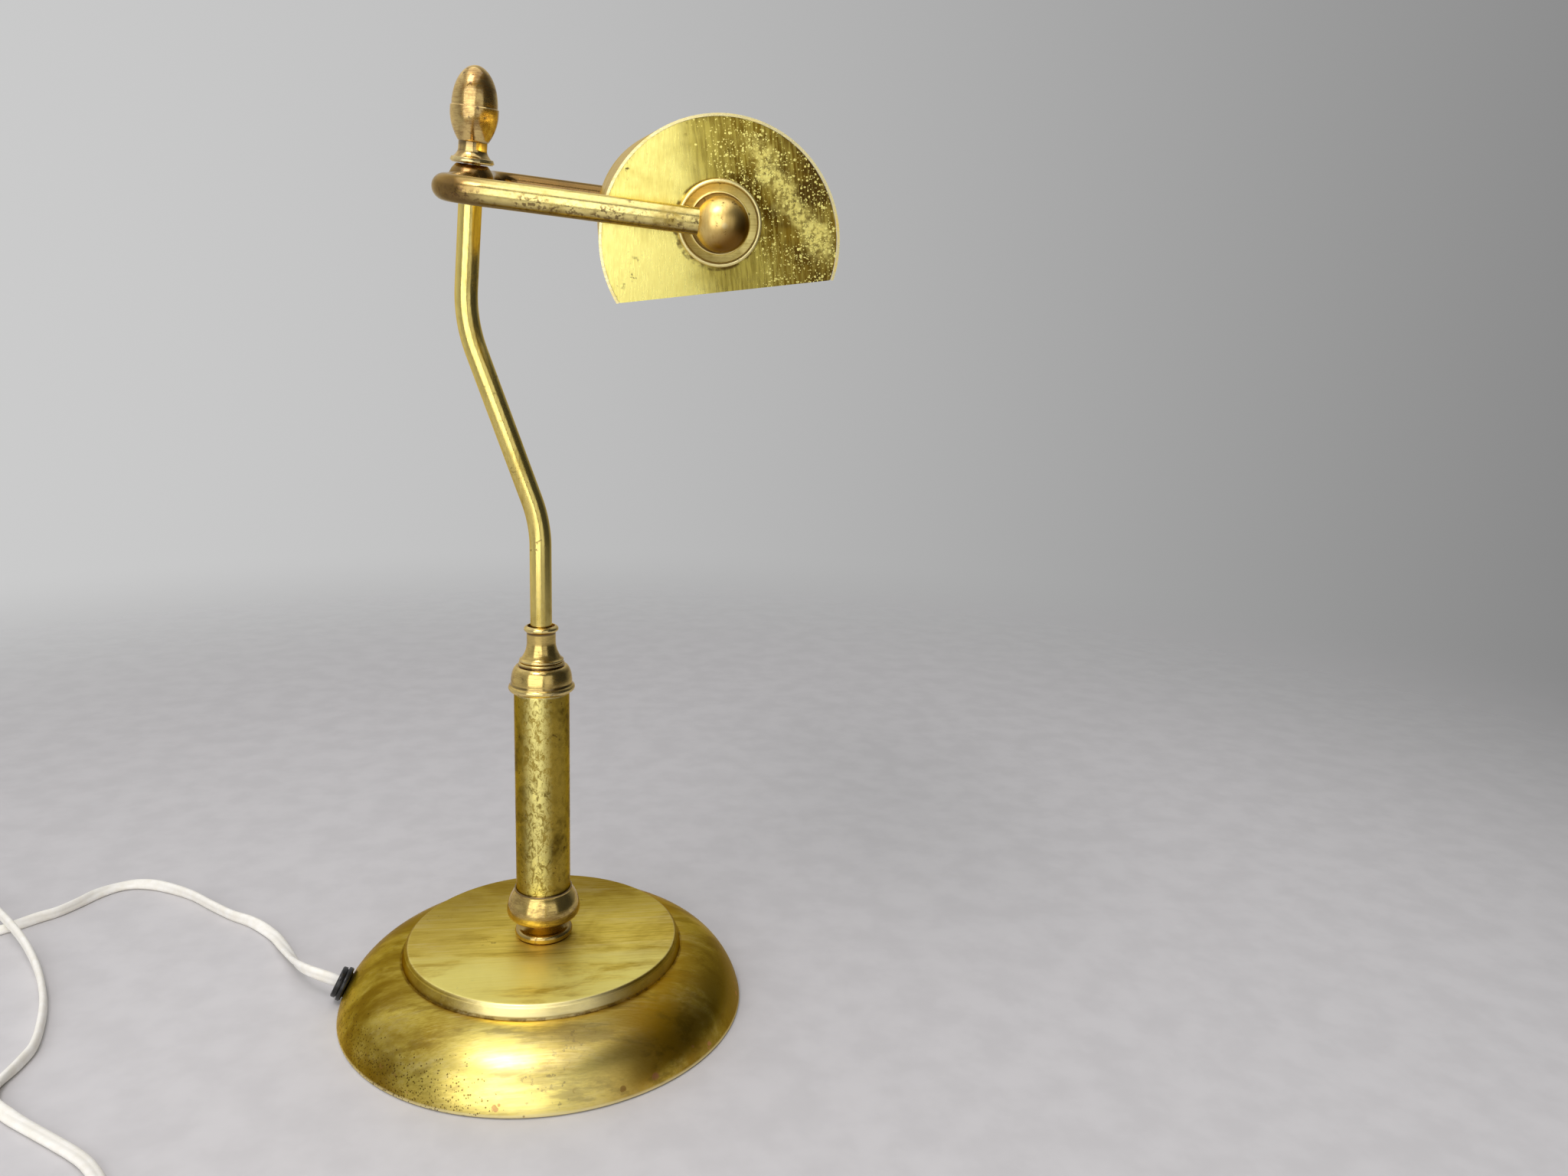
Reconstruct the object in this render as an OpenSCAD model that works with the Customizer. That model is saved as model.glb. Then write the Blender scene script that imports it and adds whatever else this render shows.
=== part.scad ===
// Brass desk lamp with a trough shade on a tilting yoke, millimetres, +Z up.
// Origin at the centre of the base's underside. +X runs from the column to the shade,
// and +Y along the shade's axis. "Near" pieces lie at -Y, "far" pieces at +Y.

/* [Base] */
// Outer radius of the base at its rim
base_r = 98; // [88:1:120]
// Height of the raised disc above the table
base_h = 34; // [30:1:44]
// Radius of the raised disc at its top edge
disc_r = 65.8; // [55:0.2:75]
// Height of the disc's edge above the dome
disc_step = 6.4; // [4:0.2:8]
// How much wider the disc's edge is at its foot
disc_flare = 1.7; // [1:0.1:3]
// Rounding of the disc's top edge
disc_round = 1.6; // [0.8:0.1:2.4]
// Slope of the dome at the rim, in degrees from level
rim_slope = 78; // [70:1:84]
// Sheet thickness of the base shell
shell_t = 1.2; // [0.8:0.1:1.8]
// Thickness of the felt under the base
felt_t = 2; // [1.5:0.1:3]
// How far the felt stands below the shell's rim
felt_proud = 0.8; // [0.4:0.1:1.2]
// Radius of the cast base weight
weight_r = 70; // [55:1:76]
// Height of the base weight's disc
weight_h = 12; // [9:0.5:13]
// Radius of the base weight's middle boss
weight_boss_r = 24; // [19:0.5:30]

/* [Column] */
// Outer diameter of the column tube
column_d = 26; // [22:0.5:30]
// Wall of the column tube
column_t = 1.2; // [0.8:0.1:2]
// Height of the column tube's top end
column_top = 159.8; // [140:0.2:190]
// Height of the turned foot under the column
foot_h = 25.5; // [22:0.5:30]
// Diameter of the foot's cup
foot_cup_d = 35.4; // [33:0.2:40]
// Diameter of the foot's bottom bead
foot_bead_d = 28; // [24:0.2:32]
// How deep the column tube sits in the foot
foot_socket = 3; // [2:0.5:5]
// Diameter of the column cap's bottom bead
cap_d = 31.2; // [29:0.2:36]
// Height of the column cap above the tube
cap_h = 31.5; // [30:0.5:40]
// Diameter of the lip at the cap's top
cap_lip_d = 16.1; // [14.5:0.1:19]
// How deep the cap reaches into the column tube
cap_spigot = 9; // [6:0.5:14]
// Diameter of the threaded tie rod in the column
rod_d = 10; // [8:0.2:10.6]
// Bore of the tie rod
rod_bore = 7; // [6.4:0.1:7.6]

/* [Stem] */
// Outer diameter of the stem tube
stem_d = 10; // [9:0.1:11]
// Bore of the stem tube
stem_bore = 7.2; // [6.8:0.1:7.8]
// Height of the stem's lower bend
stem_bend_z = 240; // [225:1:260]
// Slope of the stem's middle run towards -X, in degrees from upright
stem_slant = 19.5; // [12:0.5:24]
// Length of the stem's middle run between the bends
stem_run = 95.6; // [80:0.2:110]
// Radius of the stem's bends
stem_bend_r = 65; // [40:1:80]
// Length from the upper bend to the middle of the hub ball
stem_top_run = 58; // [50:0.5:75]
// Lean of the stem's top towards -Y, in degrees
lean_side = 7.6; // [0:0.1:12]
// Lean of the stem's top towards +X, in degrees
lean_front = 4.5; // [0:0.1:8]

/* [Yoke] */
// Radius of the hub ball at the yoke's middle
hub_r = 9.8; // [9.2:0.1:11]
// Height of the hub's flat seats from its centre
hub_seat = 7.4; // [6.6:0.1:8]
// Outer diameter of the yoke's tube
yoke_d = 9.4; // [8.6:0.1:10]
// Bore of the yoke's tube
yoke_bore = 6.2; // [5.4:0.1:6.6]
// Thickness of the fibre washers between the balls and the bosses
friction_t = 2.9; // [1.5:0.1:5]
// Distance from the hub to the shade's pivot axis
yoke_reach = 97; // [80:1:115]
// Radius of the yoke's corner bends
yoke_bend_r = 14; // [10:0.5:20]
// Radius of the ball knuckles at the arm ends
ball_r = 9.8; // [9:0.1:11]
// Distance from a ball's centre to its flat seat
ball_seat = 6.8; // [6:0.1:7.2]
// Diameter of the swivel nipple in the hub
nipple_d = 7.1; // [6.4:0.1:7.1]
// Diameter of the pivot nipples in the balls
pivot_d = 7; // [6:0.1:7.4]
// Bore of the nipples
nipple_bore = 4; // [3.6:0.1:4.4]

/* [Finial] */
// Height of the finial above its seat
finial_h = 38.8; // [36:0.2:48]
// Greatest diameter of the finial's acorn
acorn_d = 20; // [18:0.1:24]
// Diameter of the finial's base ring
finial_ring_d = 18.4; // [17:0.1:22]
// Diameter of the finial's neck
finial_neck_d = 12; // [11.4:0.1:15]

/* [Shade] */
// Outer radius of the shade's trough
shade_r = 44.4; // [40:0.2:50]
// Half the length between the end plates' outer faces
shade_half = 96; // [86:0.5:110]
// How far the arc's centre lies below the pivot axis
shade_drop = 7; // [0:0.2:9]
// How far the open mouth lies below the pivot axis
mouth_drop = 24.6; // [20:0.2:30]
// Sheet thickness of the trough and the end plates
shade_t = 1; // [0.8:0.1:1.4]
// How far the trough's edge stands past the end plates
shade_lip = 1; // [0.6:0.1:2]
// How far the shade is tilted with its front edge up, in degrees
shade_tilt = 12.8; // [0:0.2:20]
// Outer diameter of the dished bosses on the end plates
boss_d = 31; // [26:0.5:36]
// Thickness of a boss in its middle
boss_t = 2; // [1.4:0.1:2.4]
// Height of a boss's raised rim above its middle
boss_rim = 1.9; // [1.4:0.1:2.8]

/* [Lampholder] */
// Outer diameter of the lampholder's brass shell
holder_d = 28; // [25:0.5:32]
// Length of the lampholder's shell
holder_len = 32; // [28:0.5:38]
// Diameter of the tubular bulb
bulb_d = 25; // [20:0.5:26]
// Length of the bulb's glass
bulb_len = 80; // [60:1:90]
// Diameter of the bulb's screw cap
bulb_cap_d = 13.8; // [13:0.1:14.2]
// Length of the bulb's screw cap
bulb_cap_len = 20; // [17:0.5:22]
// Width of the switch key's wing
key_w = 9; // [7:0.2:10]

/* [Cord] */
// Width of the flat cord
cord_w = 6; // [5:0.1:7]
// Thickness of the flat cord
cord_t = 3.4; // [2.8:0.1:3.8]
// Turns of the stored coil, with the same place on the coil at its end
coil_turns = 5; // [3:1:6]
// Radius at the middle of the coil's turns
coil_mid_r = 33; // [30:0.5:36]
// Sideways step from one turn of the coil to the next
coil_step = 4.4; // [4.2:0.1:5]
// Upward step from one layer of the coil to the next
coil_layer = 7; // [6.8:0.1:8]
// Diameter of the cord bushing's flanges
bushing_d = 16.5; // [14:0.5:17.5]
// Thickness of each bushing flange and of the lobe outside it
bushing_flange = 2.4; // [2:0.1:3.2]

/* [Hidden] */
$fn = 64;

// Clearances: a running fit, a fixed fit, and the play between faces that turn on each other
run = 0.05;
fix = 0.02;
play = 0.3;
// A cut runs this far past the face that it opens
over = 1;

// Colours
BRASS = [0.72, 0.60, 0.28];
DARK_BRASS = [0.55, 0.43, 0.20];
IRON = [0.25, 0.25, 0.26];
STEEL = [0.62, 0.62, 0.62];
FELT = [0.16, 0.28, 0.18];
WHITE = [0.93, 0.93, 0.90];
BLACK = [0.06, 0.06, 0.06];
GLASS = [0.95, 0.93, 0.85];
FIBRE = [0.35, 0.22, 0.14];

// Points of an arc about a centre, from one angle to another
function arc(centre, r, from, to, n = 10) =
  [for (i = [0 : n]) centre + r * [cos(from + (to - from) * i / n), sin(from + (to - from) * i / n)]];
// Quarter of an ellipse from a to b, level at a and upright at b, without a itself
function swell(a, b, n = 8) =
  [for (i = [1 : n]) [a.x + (b.x - a.x) * sin(i * 90 / n), b.y - (b.y - a.y) * cos(i * 90 / n)]];
// Quarter of an ellipse from a to b, upright at a and level at b, without a itself
function crown(a, b, n = 8) =
  [for (i = [1 : n]) [b.x + (a.x - b.x) * cos(i * 90 / n), a.y + (b.y - a.y) * sin(i * 90 / n)]];
// Rounded line drawn in from a to b, upright at a, without a itself
function drawn_in(a, b, n = 8) = [for (i = [1 : n])
  [a.x + (b.x - a.x) * pow(i / n, 2), a.y + (b.y - a.y) * i / n]];
// Hollow taper from a to b, upright at b, without a itself
function taper(a, b, n = 8) =
  [for (i = [1 : n]) [b.x + (a.x - b.x) * pow(1 - i / n, 2), a.y + (b.y - a.y) * i / n]];
function unit(v) = v / norm(v);
function angle_between(u, v) = acos(max(-1, min(1, u * v)));

// A straight round bar from one point to another
module bar(from, to, r) {
  d = to - from;
  u = unit(d);
  translate(from) rotate([0, acos(u.z), atan2(u.y, u.x)]) cylinder(h = norm(d), r = r);
}

// A round bend from a point along one direction to another, short by a seam at each end
module bend(start, along, leave, bend_r, r) {
  inward = unit(leave - (leave * along) * along);
  side = cross(-inward, along);
  c = start + inward * bend_r;
  short = seam / bend_r * 180 / PI;
  multmatrix([
    [-inward.x, along.x, side.x, c.x],
    [-inward.y, along.y, side.y, c.y],
    [-inward.z, along.z, side.z, c.z],
    [0, 0, 0, 1]
  ]) rotate([0, 0, short])
    rotate_extrude(angle = angle_between(along, leave) - 2 * short) translate([bend_r, 0]) circle(r = r);
}

// A round bar along a line of points, with bends of one radius at its corners
// Each straight run meets its bend inside a thin disc, a hair wider than the bar
seam = 0.1;
hair = 0.01;
module bent_bar(points, bend_r, r) {
  last = len(points) - 1;
  dirs = [for (i = [0 : last - 1]) unit(points[i + 1] - points[i])];
  cut = [for (i = [0 : last])
    i == 0 || i == last ? 0 : bend_r * tan(angle_between(dirs[i - 1], dirs[i]) / 2)];
  short = [for (i = [0 : last]) i == 0 || i == last ? 0 : seam];
  for (i = [0 : last - 1])
    bar(points[i] + dirs[i] * (cut[i] + short[i]), points[i + 1] - dirs[i] * (cut[i + 1] + short[i + 1]), r);
  for (i = [1 : last - 1]) {
    from = points[i] - dirs[i - 1] * cut[i];
    to = points[i] + dirs[i] * cut[i];
    bend(from, dirs[i - 1], dirs[i], bend_r, r);
    bar(from - 2 * seam * dirs[i - 1], from + 2 * seam * dirs[i - 1], r + hair);
    bar(to - 2 * seam * dirs[i], to + 2 * seam * dirs[i], r + hair);
  }
}

// A flat ring or washer standing on z = 0
module ring(outer, inner, h) {
  difference() {
    cylinder(r = outer, h = h);
    translate([0, 0, -over]) cylinder(r = inner, h = h + 2 * over);
  }
}

// Dome of the base: one arc from the rim to the foot of the raised disc
rim_point = [base_r, felt_proud];
disc_foot = [disc_r + disc_flare, base_h - disc_step];
dome_chord = disc_foot - rim_point;
dome_inward = [-sin(rim_slope), -cos(rim_slope)];
dome_r = (dome_chord * dome_chord) / (2 * (dome_chord * dome_inward));
dome_c = rim_point + dome_r * dome_inward;
dome_from = atan2(rim_point.y - dome_c.y, rim_point.x - dome_c.x);
dome_to = atan2(disc_foot.y - dome_c.y, disc_foot.x - dome_c.x);

// Outline of the base from the rim to the middle, drawn in by a sheet thickness
function base_outline(t, n = 18) = concat(
  arc(dome_c, dome_r - t, dome_from, dome_to, n),
  [[disc_r - t + disc_round * disc_flare / disc_step, base_h - disc_round - t / 2]],
  arc([disc_r - disc_round, base_h - disc_round], max(disc_round - t, disc_round / 8), 0, 90, 5)
);
inside_top = base_h - shell_t;

module base_shell() {
  outer = base_outline(0);
  inner = base_outline(shell_t);
  hole_r = rod_d / 2 + fix;
  color(BRASS) difference() {
    rotate_extrude() polygon(concat(
      outer,
      [[hole_r, base_h], [hole_r, inside_top]],
      [for (i = [len(inner) - 1 : -1 : 0]) [inner[i].x, min(inner[i].y, inside_top)]]
    ));
    at_bushing() translate([0, 0, -bushing_d]) cylinder(r = bushing_neck_r + fix, h = 2 * bushing_d);
  }
}

// Weight and fastenings under the disc, with the tie rod's nut in a pocket
weight_z = felt_t;
pocket_wall = 8;
pocket_r = weight_boss_r - pocket_wall;
nut_h = 5;
nut_wall = 3.75;
base_washer_t = 1.6;
pocket_h = 20;
pocket_top = weight_z + pocket_h;
washer_z = pocket_top - base_washer_t;
nut_z = washer_z - nut_h;
rod_bottom = nut_z - over;
// Room round a wire in its tube or groove
wire_room = 0.7;
wire_r = stem_bore / 2 - wire_room;
groove_w = 2 * (wire_r + over);
wire_z = felt_t + wire_r + wire_room;

module base_weight() {
  color(IRON) difference() {
    union() {
      translate([0, 0, weight_z]) cylinder(r = weight_r, h = weight_h);
      translate([0, 0, weight_z]) cylinder(r = weight_boss_r, h = inside_top - weight_z);
    }
    translate([0, 0, weight_z - over]) cylinder(r = pocket_r, h = pocket_top - weight_z + over);
    cylinder(r = rod_d / 2 + fix, h = base_h);
    rotate([0, 0, bushing_turn])
      translate([0, -groove_w / 2, weight_z - over])
        cube([weight_r + over, groove_w, wire_z + wire_r - weight_z + 2 * over]);
  }
}

module base_felt() {
  color(FELT) difference() {
    cylinder(r = base_r - 2 * shell_t, h = felt_t);
    at_bushing() translate([0, 0, -bushing_back - play]) cylinder(r = bushing_d / 2, h = bushing_back + play);
  }
}

module base_washer() {
  color(STEEL) translate([0, 0, washer_z]) ring(pocket_r - over, rod_d / 2 + fix, base_washer_t);
}

module base_nut() {
  color(STEEL) translate([0, 0, nut_z]) difference() {
    cylinder(r = rod_d / 2 + nut_wall, h = nut_h, $fn = 6);
    translate([0, 0, -over]) cylinder(r = rod_d / 2 + fix, h = nut_h + 2 * over);
  }
}

// Cap, coupler and the stem's lower end inside the column's top
tube_in_r = column_d / 2 - column_t;
cap_bottom = column_top - cap_spigot;
clip_reach = 2.4;
clip_depth = 0.5;
cavity_r = stem_d / 2 + clip_reach + over;
coupler_h = 6;
coupler_top = cap_bottom + coupler_h;
// Height of the stem clip's shoulder inside the cap
cap_shoulder = 12.8;
shoulder_z = column_top + cap_shoulder;
stem_bottom = coupler_top + play;
clip_t = 1.2;
clip_z = shoulder_z - play - clip_t;
clip_r = stem_d / 2 + clip_reach;
groove_r = stem_d / 2 - clip_depth;

module tie_rod() {
  color(STEEL) translate([0, 0, rod_bottom]) ring(rod_d / 2, rod_bore / 2, coupler_top - rod_bottom);
}

module column_foot() {
  bore_r = rod_d / 2 + fix;
  bead_r = foot_bead_d / 2;
  bead_h = 4.8;
  bead_turn = 70;
  edge = 0.8;
  shoulder_in = 2.2;
  shoulder = [bead_r - shoulder_in, bead_h];
  neck_in = 5;
  neck_z = 8.4;
  neck = [bead_r - neck_in, neck_z];
  cup_z = 13.8;
  cup = [foot_cup_d / 2, cup_z];
  rim_wall = 0.9;
  rim_h = 1.2;
  rim = [column_d / 2 + rim_wall, foot_h - rim_h];
  outline = concat(
    [[bore_r, 0], [bead_r - edge, 0]],
    arc([bead_r - bead_h / 2, bead_h / 2], bead_h / 2, -bead_turn, bead_turn),
    [shoulder], taper(shoulder, neck), swell(neck, cup), drawn_in(cup, rim),
    [[rim.x, foot_h], [bore_r, foot_h]]
  );
  color(BRASS) translate([0, 0, base_h]) difference() {
    rotate_extrude() polygon(outline);
    translate([0, 0, foot_h - foot_socket]) cylinder(r = column_d / 2 + fix, h = foot_socket + over);
  }
}
tube_bottom = base_h + foot_h - foot_socket;

module column_tube() {
  color(DARK_BRASS) translate([0, 0, tube_bottom]) ring(column_d / 2, tube_in_r, column_top - tube_bottom);
}

module column_cap() {
  bore_r = stem_d / 2 + run;
  bead_r = cap_d / 2;
  bead_h = 3.4;
  bead_turn = 62;
  edge = 1.2;
  dome_in = 1.2;
  dome_step = 0.5;
  dome_foot = [bead_r - dome_in, bead_h + dome_step];
  dome_h = 12.3;
  waist_wall = 1.75;
  waist_z = 23.7;
  waist = [stem_d / 2 + waist_wall, waist_z];
  rings_out = 4;
  ring_r = waist.x + rings_out;
  ring_edge = 0.7;
  ring_turn = 80;
  ring_step = 0.4;
  low_ring = [ring_r - ring_edge, dome_h + ring_edge + ring_step];
  high_ring = low_ring + [-ring_step, 2 * ring_edge + ring_step / 2];
  flare = high_ring + [-ring_step, ring_edge + ring_step];
  lip_h = 3;
  lip_edge = 1.3;
  lip_turn = 60;
  lip_r = cap_lip_d / 2 - lip_edge;
  recess_in = 0.4;
  recess_h = 1.5;
  recess_r = lip_r - recess_in;
  outline = concat(
    [[bore_r, 0], [bead_r - edge, 0]],
    arc([bead_r - bead_h / 2, bead_h / 2], bead_h / 2, -bead_turn, bead_turn),
    [dome_foot], crown(dome_foot, [ring_r + dome_step, dome_h]),
    [[ring_r - ring_step, dome_h]],
    arc(low_ring, ring_edge, -ring_turn, ring_turn, 4),
    arc(high_ring, ring_edge, -ring_turn, ring_turn, 4),
    [flare], taper(flare, waist),
    [[waist.x, cap_h - lip_h - lip_edge], [lip_r, cap_h - lip_h]],
    arc([lip_r, cap_h - lip_h / 2], lip_edge, -lip_turn, lip_turn, 4),
    [[lip_r, cap_h], [recess_r, cap_h], [recess_r, cap_h - recess_h], [bore_r, cap_h - recess_h]]
  );
  color(BRASS) difference() {
    union() {
      translate([0, 0, column_top]) rotate_extrude() polygon(outline);
      translate([0, 0, cap_bottom]) cylinder(r = tube_in_r - fix, h = cap_spigot + over);
    }
    translate([0, 0, cap_bottom - over]) cylinder(r = cavity_r, h = shoulder_z - cap_bottom + over);
    translate([0, 0, cap_bottom]) cylinder(r = bore_r, h = cap_spigot + cap_h + over);
  }
}

module cap_coupler() {
  color(STEEL) translate([0, 0, cap_bottom]) ring(cavity_r - fix, rod_d / 2 + fix, coupler_h);
}

// Cord bushing in the dome's wall, at the side where the cord leaves
bushing_turn = 177;
bushing_tip = 26;
bushing_lip = 2.5;
bushing_neck_r = bushing_d / 2 - bushing_lip;
bushing_out = 0.2;
bushing_r = dome_c.x + dome_r * cos(bushing_tip);
bushing_z = dome_c.y + dome_r * sin(bushing_tip);
module at_bushing() {
  rotate([0, 0, bushing_turn]) translate([bushing_r, 0, bushing_z])
    rotate([0, 90 - bushing_tip, 0]) children();
}
// The flanges clear the curved wall by the drop of the dome across their radius
wall_drop = dome_r - sqrt(pow(dome_r, 2) - pow(bushing_d / 2, 2));
flange_in = shell_t + bushing_out + wall_drop;
bushing_back = flange_in + bushing_flange;
// Outside the wall a second, smaller lobe stands off the flange by a groove
bushing_groove = 0.4;
lobe_in = 0.7;
lobe_z = bushing_out + bushing_flange + bushing_groove;
bushing_face = lobe_z + bushing_flange;
cord_out = [cos(bushing_tip) * cos(bushing_turn), cos(bushing_tip) * sin(bushing_turn), sin(bushing_tip)];
bushing_c = [bushing_r * cos(bushing_turn), bushing_r * sin(bushing_turn), bushing_z];
cord_exit = bushing_c + bushing_face * cord_out;

module cord_bushing() {
  color(BLACK) at_bushing() difference() {
    union() {
      translate([0, 0, bushing_out]) cylinder(r = bushing_d / 2, h = bushing_flange);
      translate([0, 0, lobe_z]) cylinder(r = bushing_d / 2 - lobe_in, h = bushing_flange);
      translate([0, 0, -bushing_back]) cylinder(r = bushing_neck_r, h = bushing_back + lobe_z + over);
      translate([0, 0, -bushing_back]) cylinder(r = bushing_d / 2 - over, h = bushing_flange);
    }
    translate([0, 0, -bushing_back - over]) cylinder(r = wire_r + fix, h = bushing_back);
  }
}

// Wire inside the base: along the bushing's axis to the table's level, to the middle and up the rod
wire_bend_r = 6;
function on_bushing_axis(depth) =
  [bushing_r - depth * cos(bushing_tip), 0, bushing_z - depth * sin(bushing_tip)];
wire_start = on_bushing_axis(over + play);
wire_turn = on_bushing_axis((bushing_z - wire_z) / sin(bushing_tip));
module column_wire() {
  color(WHITE) rotate([0, 0, bushing_turn])
    bent_bar([wire_start, wire_turn, [0, 0, wire_z], [0, 0, coupler_top]], wire_bend_r, wire_r);
}

// Stem line from the column to the hub ball, and the tilted frame of the head
stem_low = [0, 0, stem_bend_z];
slant_dir = [-sin(stem_slant), 0, cos(stem_slant)];
stem_high = stem_low + stem_run * slant_dir;
head_dir = [cos(lean_side) * sin(lean_front), -sin(lean_side), cos(lean_side) * cos(lean_front)];
hub_centre = stem_high + stem_top_run * head_dir;
stem_end = hub_centre - (hub_seat + play) * head_dir;
module at_head() {
  translate(hub_centre) rotate([lean_side, lean_front, 0]) children();
}

module stem() {
  color(BRASS) difference() {
    bent_bar([[0, 0, stem_bottom], stem_low, stem_high, stem_end], stem_bend_r, stem_d / 2);
    bent_bar([[0, 0, stem_bottom - over], stem_low, stem_high, stem_end + over * head_dir],
      stem_bend_r, stem_bore / 2);
    translate([0, 0, clip_z - fix]) ring(stem_d / 2 + over, groove_r, clip_t + 2 * fix);
  }
}

module stem_clip() {
  color(STEEL) translate([0, 0, clip_z]) ring(clip_r, groove_r + fix, clip_t);
}

nipple_in_stem = 16;
nipple_in_finial = 14;
module stem_wire() {
  color(WHITE) bent_bar([
    [0, 0, stem_bottom], stem_low, stem_high,
    stem_end - (nipple_in_stem + play) * head_dir
  ], stem_bend_r, wire_r);
}

// The nipple's diameter follows the stem's bore where that is the smaller of the two
nipple_r = min(nipple_d, stem_bore - 2 * fix) / 2;
seat_top = hub_seat + play;
module swivel_nipple() {
  low = -hub_seat - play - nipple_in_stem;
  color(STEEL) at_head() translate([0, 0, low])
    ring(nipple_r, nipple_bore / 2, seat_top + nipple_in_finial - low);
}

module finial() {
  ring_r = finial_ring_d / 2;
  ring_h = 2.3;
  edge = 0.8;
  neck_foot_in = 1.2;
  neck_z = 5.8;
  neck = [finial_neck_d / 2, neck_z];
  neck_foot = [ring_r - neck_foot_in, ring_h];
  ledge_out = 0.5;
  ledge_z = 9.2;
  ledge = [neck.x + ledge_out, ledge_z];
  cup_z = 20.4;
  rim_z = 22.3;
  rim_step = 0.5;
  cup = [acorn_d / 2, cup_z];
  nut = [cup.x - rim_step, rim_z + rim_step];
  outline = concat(
    [[0, 0], [ring_r - edge, 0], [ring_r, edge], [ring_r - rim_step, ring_h]],
    [neck_foot], taper(neck_foot, neck),
    [[neck.x, ledge.y - rim_step], ledge], taper(ledge, cup),
    [[cup.x, rim_z], nut], crown(nut, [0, finial_h], 12)
  );
  color(BRASS) at_head() translate([0, 0, seat_top]) difference() {
    rotate_extrude() polygon(outline);
    translate([0, 0, -over]) cylinder(r = nipple_r + fix, h = nipple_in_finial + over + fix);
  }
}

// Yoke: hub ball, two bent arms and two ball knuckles, all in the head's frame
hub_wall = 1.8;
ball_wall = 1.6;
arm_start = nipple_r + hub_wall;
arm_stop = pivot_d / 2 + ball_wall;
// The knuckles stand off the shade by the stack of a ball's seat, a fibre washer and a boss
plate_out = ball_seat + friction_t + play + boss_t;
yoke_half = shade_half + plate_out;
module flat_ball(r, bottom) {
  intersection() {
    sphere(r = r);
    translate([-r - over, -r - over, bottom]) cube(2 * (r + over));
  }
}

module yoke_hub() {
  color(BRASS) at_head() difference() {
    intersection() {
      sphere(r = hub_r);
      translate([0, 0, -hub_seat]) cylinder(r = hub_r + over, h = 2 * hub_seat);
    }
    translate([0, 0, -hub_r]) cylinder(r = nipple_r + run, h = 2 * hub_r);
    for (side = [-1, 1]) rotate([-side * 90, 0, 0])
      translate([0, 0, arm_start]) cylinder(r = yoke_d / 2 + fix, h = hub_r);
  }
}

module yoke_arm(side) {
  line = [[0, side * arm_start, 0], [0, side * yoke_half, 0], [yoke_reach - arm_stop, side * yoke_half, 0]];
  longer = [line[0] - [0, side * over, 0], line[1], line[2] + [over, 0, 0]];
  color(BRASS) at_head() difference() {
    bent_bar(line, yoke_bend_r, yoke_d / 2);
    bent_bar(longer, yoke_bend_r, yoke_bore / 2);
  }
}
module yoke_arm_near() { yoke_arm(-1); }
module yoke_arm_far() { yoke_arm(1); }

module arm_wire() {
  color(WHITE) at_head() bent_bar(
    [[0, arm_start, 0], [0, yoke_half, 0], [yoke_reach - arm_stop, yoke_half, 0]],
    yoke_bend_r, yoke_bore / 2 - wire_room);
}

// Frame of one pivot: the z axis runs from the knuckle's centre towards the shade
module at_pivot(side) {
  at_head() translate([yoke_reach, side * yoke_half, 0]) rotate([side * 90, 0, 0]) children();
}
plate_in = plate_out + shade_t;
inner_washer_t = 1;
inner_washer_z = plate_in + play;
pivot_nut_h = 4;
pivot_nut_z = inner_washer_z + inner_washer_t;
pivot_nut_wall = 3.2;
pivot_blind = 3;
// Length of a pivot nipple past its nut, the far one inside the lampholder
pivot_past_near = 1.5;
pivot_past_far = 8;
holder_z = pivot_nut_z + pivot_nut_h;

module ball(side) {
  color(BRASS) at_pivot(side) difference() {
    rotate([180, 0, 0]) flat_ball(ball_r, -ball_seat);
    translate([0, 0, -pivot_blind]) cylinder(r = pivot_d / 2 + fix, h = ball_r + pivot_blind);
    rotate([0, -90, 0]) translate([0, 0, arm_stop]) cylinder(r = yoke_d / 2 + fix, h = ball_r);
  }
}
module ball_near() { ball(-1); }
module ball_far() { ball(1); }

module pivot_nipple(side, end) {
  color(STEEL) at_pivot(side) translate([0, 0, -pivot_blind])
    ring(pivot_d / 2, nipple_bore / 2, end + pivot_blind);
}
module pivot_nipple_near() { pivot_nipple(-1, holder_z + pivot_past_near); }
module pivot_nipple_far() { pivot_nipple(1, holder_z + pivot_past_far); }

module friction_washer(side) {
  color(FIBRE) at_pivot(side) translate([0, 0, ball_seat])
    ring(ball_r - ball_wall, pivot_d / 2 + fix, friction_t);
}
module friction_washer_near() { friction_washer(-1); }
module friction_washer_far() { friction_washer(1); }

module inner_washer(side) {
  color(STEEL) at_pivot(side) translate([0, 0, inner_washer_z])
    ring(ball_r, pivot_d / 2 + fix, inner_washer_t);
}
module inner_washer_near() { inner_washer(-1); }
module inner_washer_far() { inner_washer(1); }

module pivot_nut(side) {
  color(STEEL) at_pivot(side) translate([0, 0, pivot_nut_z]) difference() {
    cylinder(r = pivot_d / 2 + pivot_nut_wall, h = pivot_nut_h, $fn = 6);
    translate([0, 0, -over]) cylinder(r = pivot_d / 2 + fix, h = pivot_nut_h + 2 * over);
  }
}
module pivot_nut_near() { pivot_nut(-1); }
module pivot_nut_far() { pivot_nut(1); }

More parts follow.
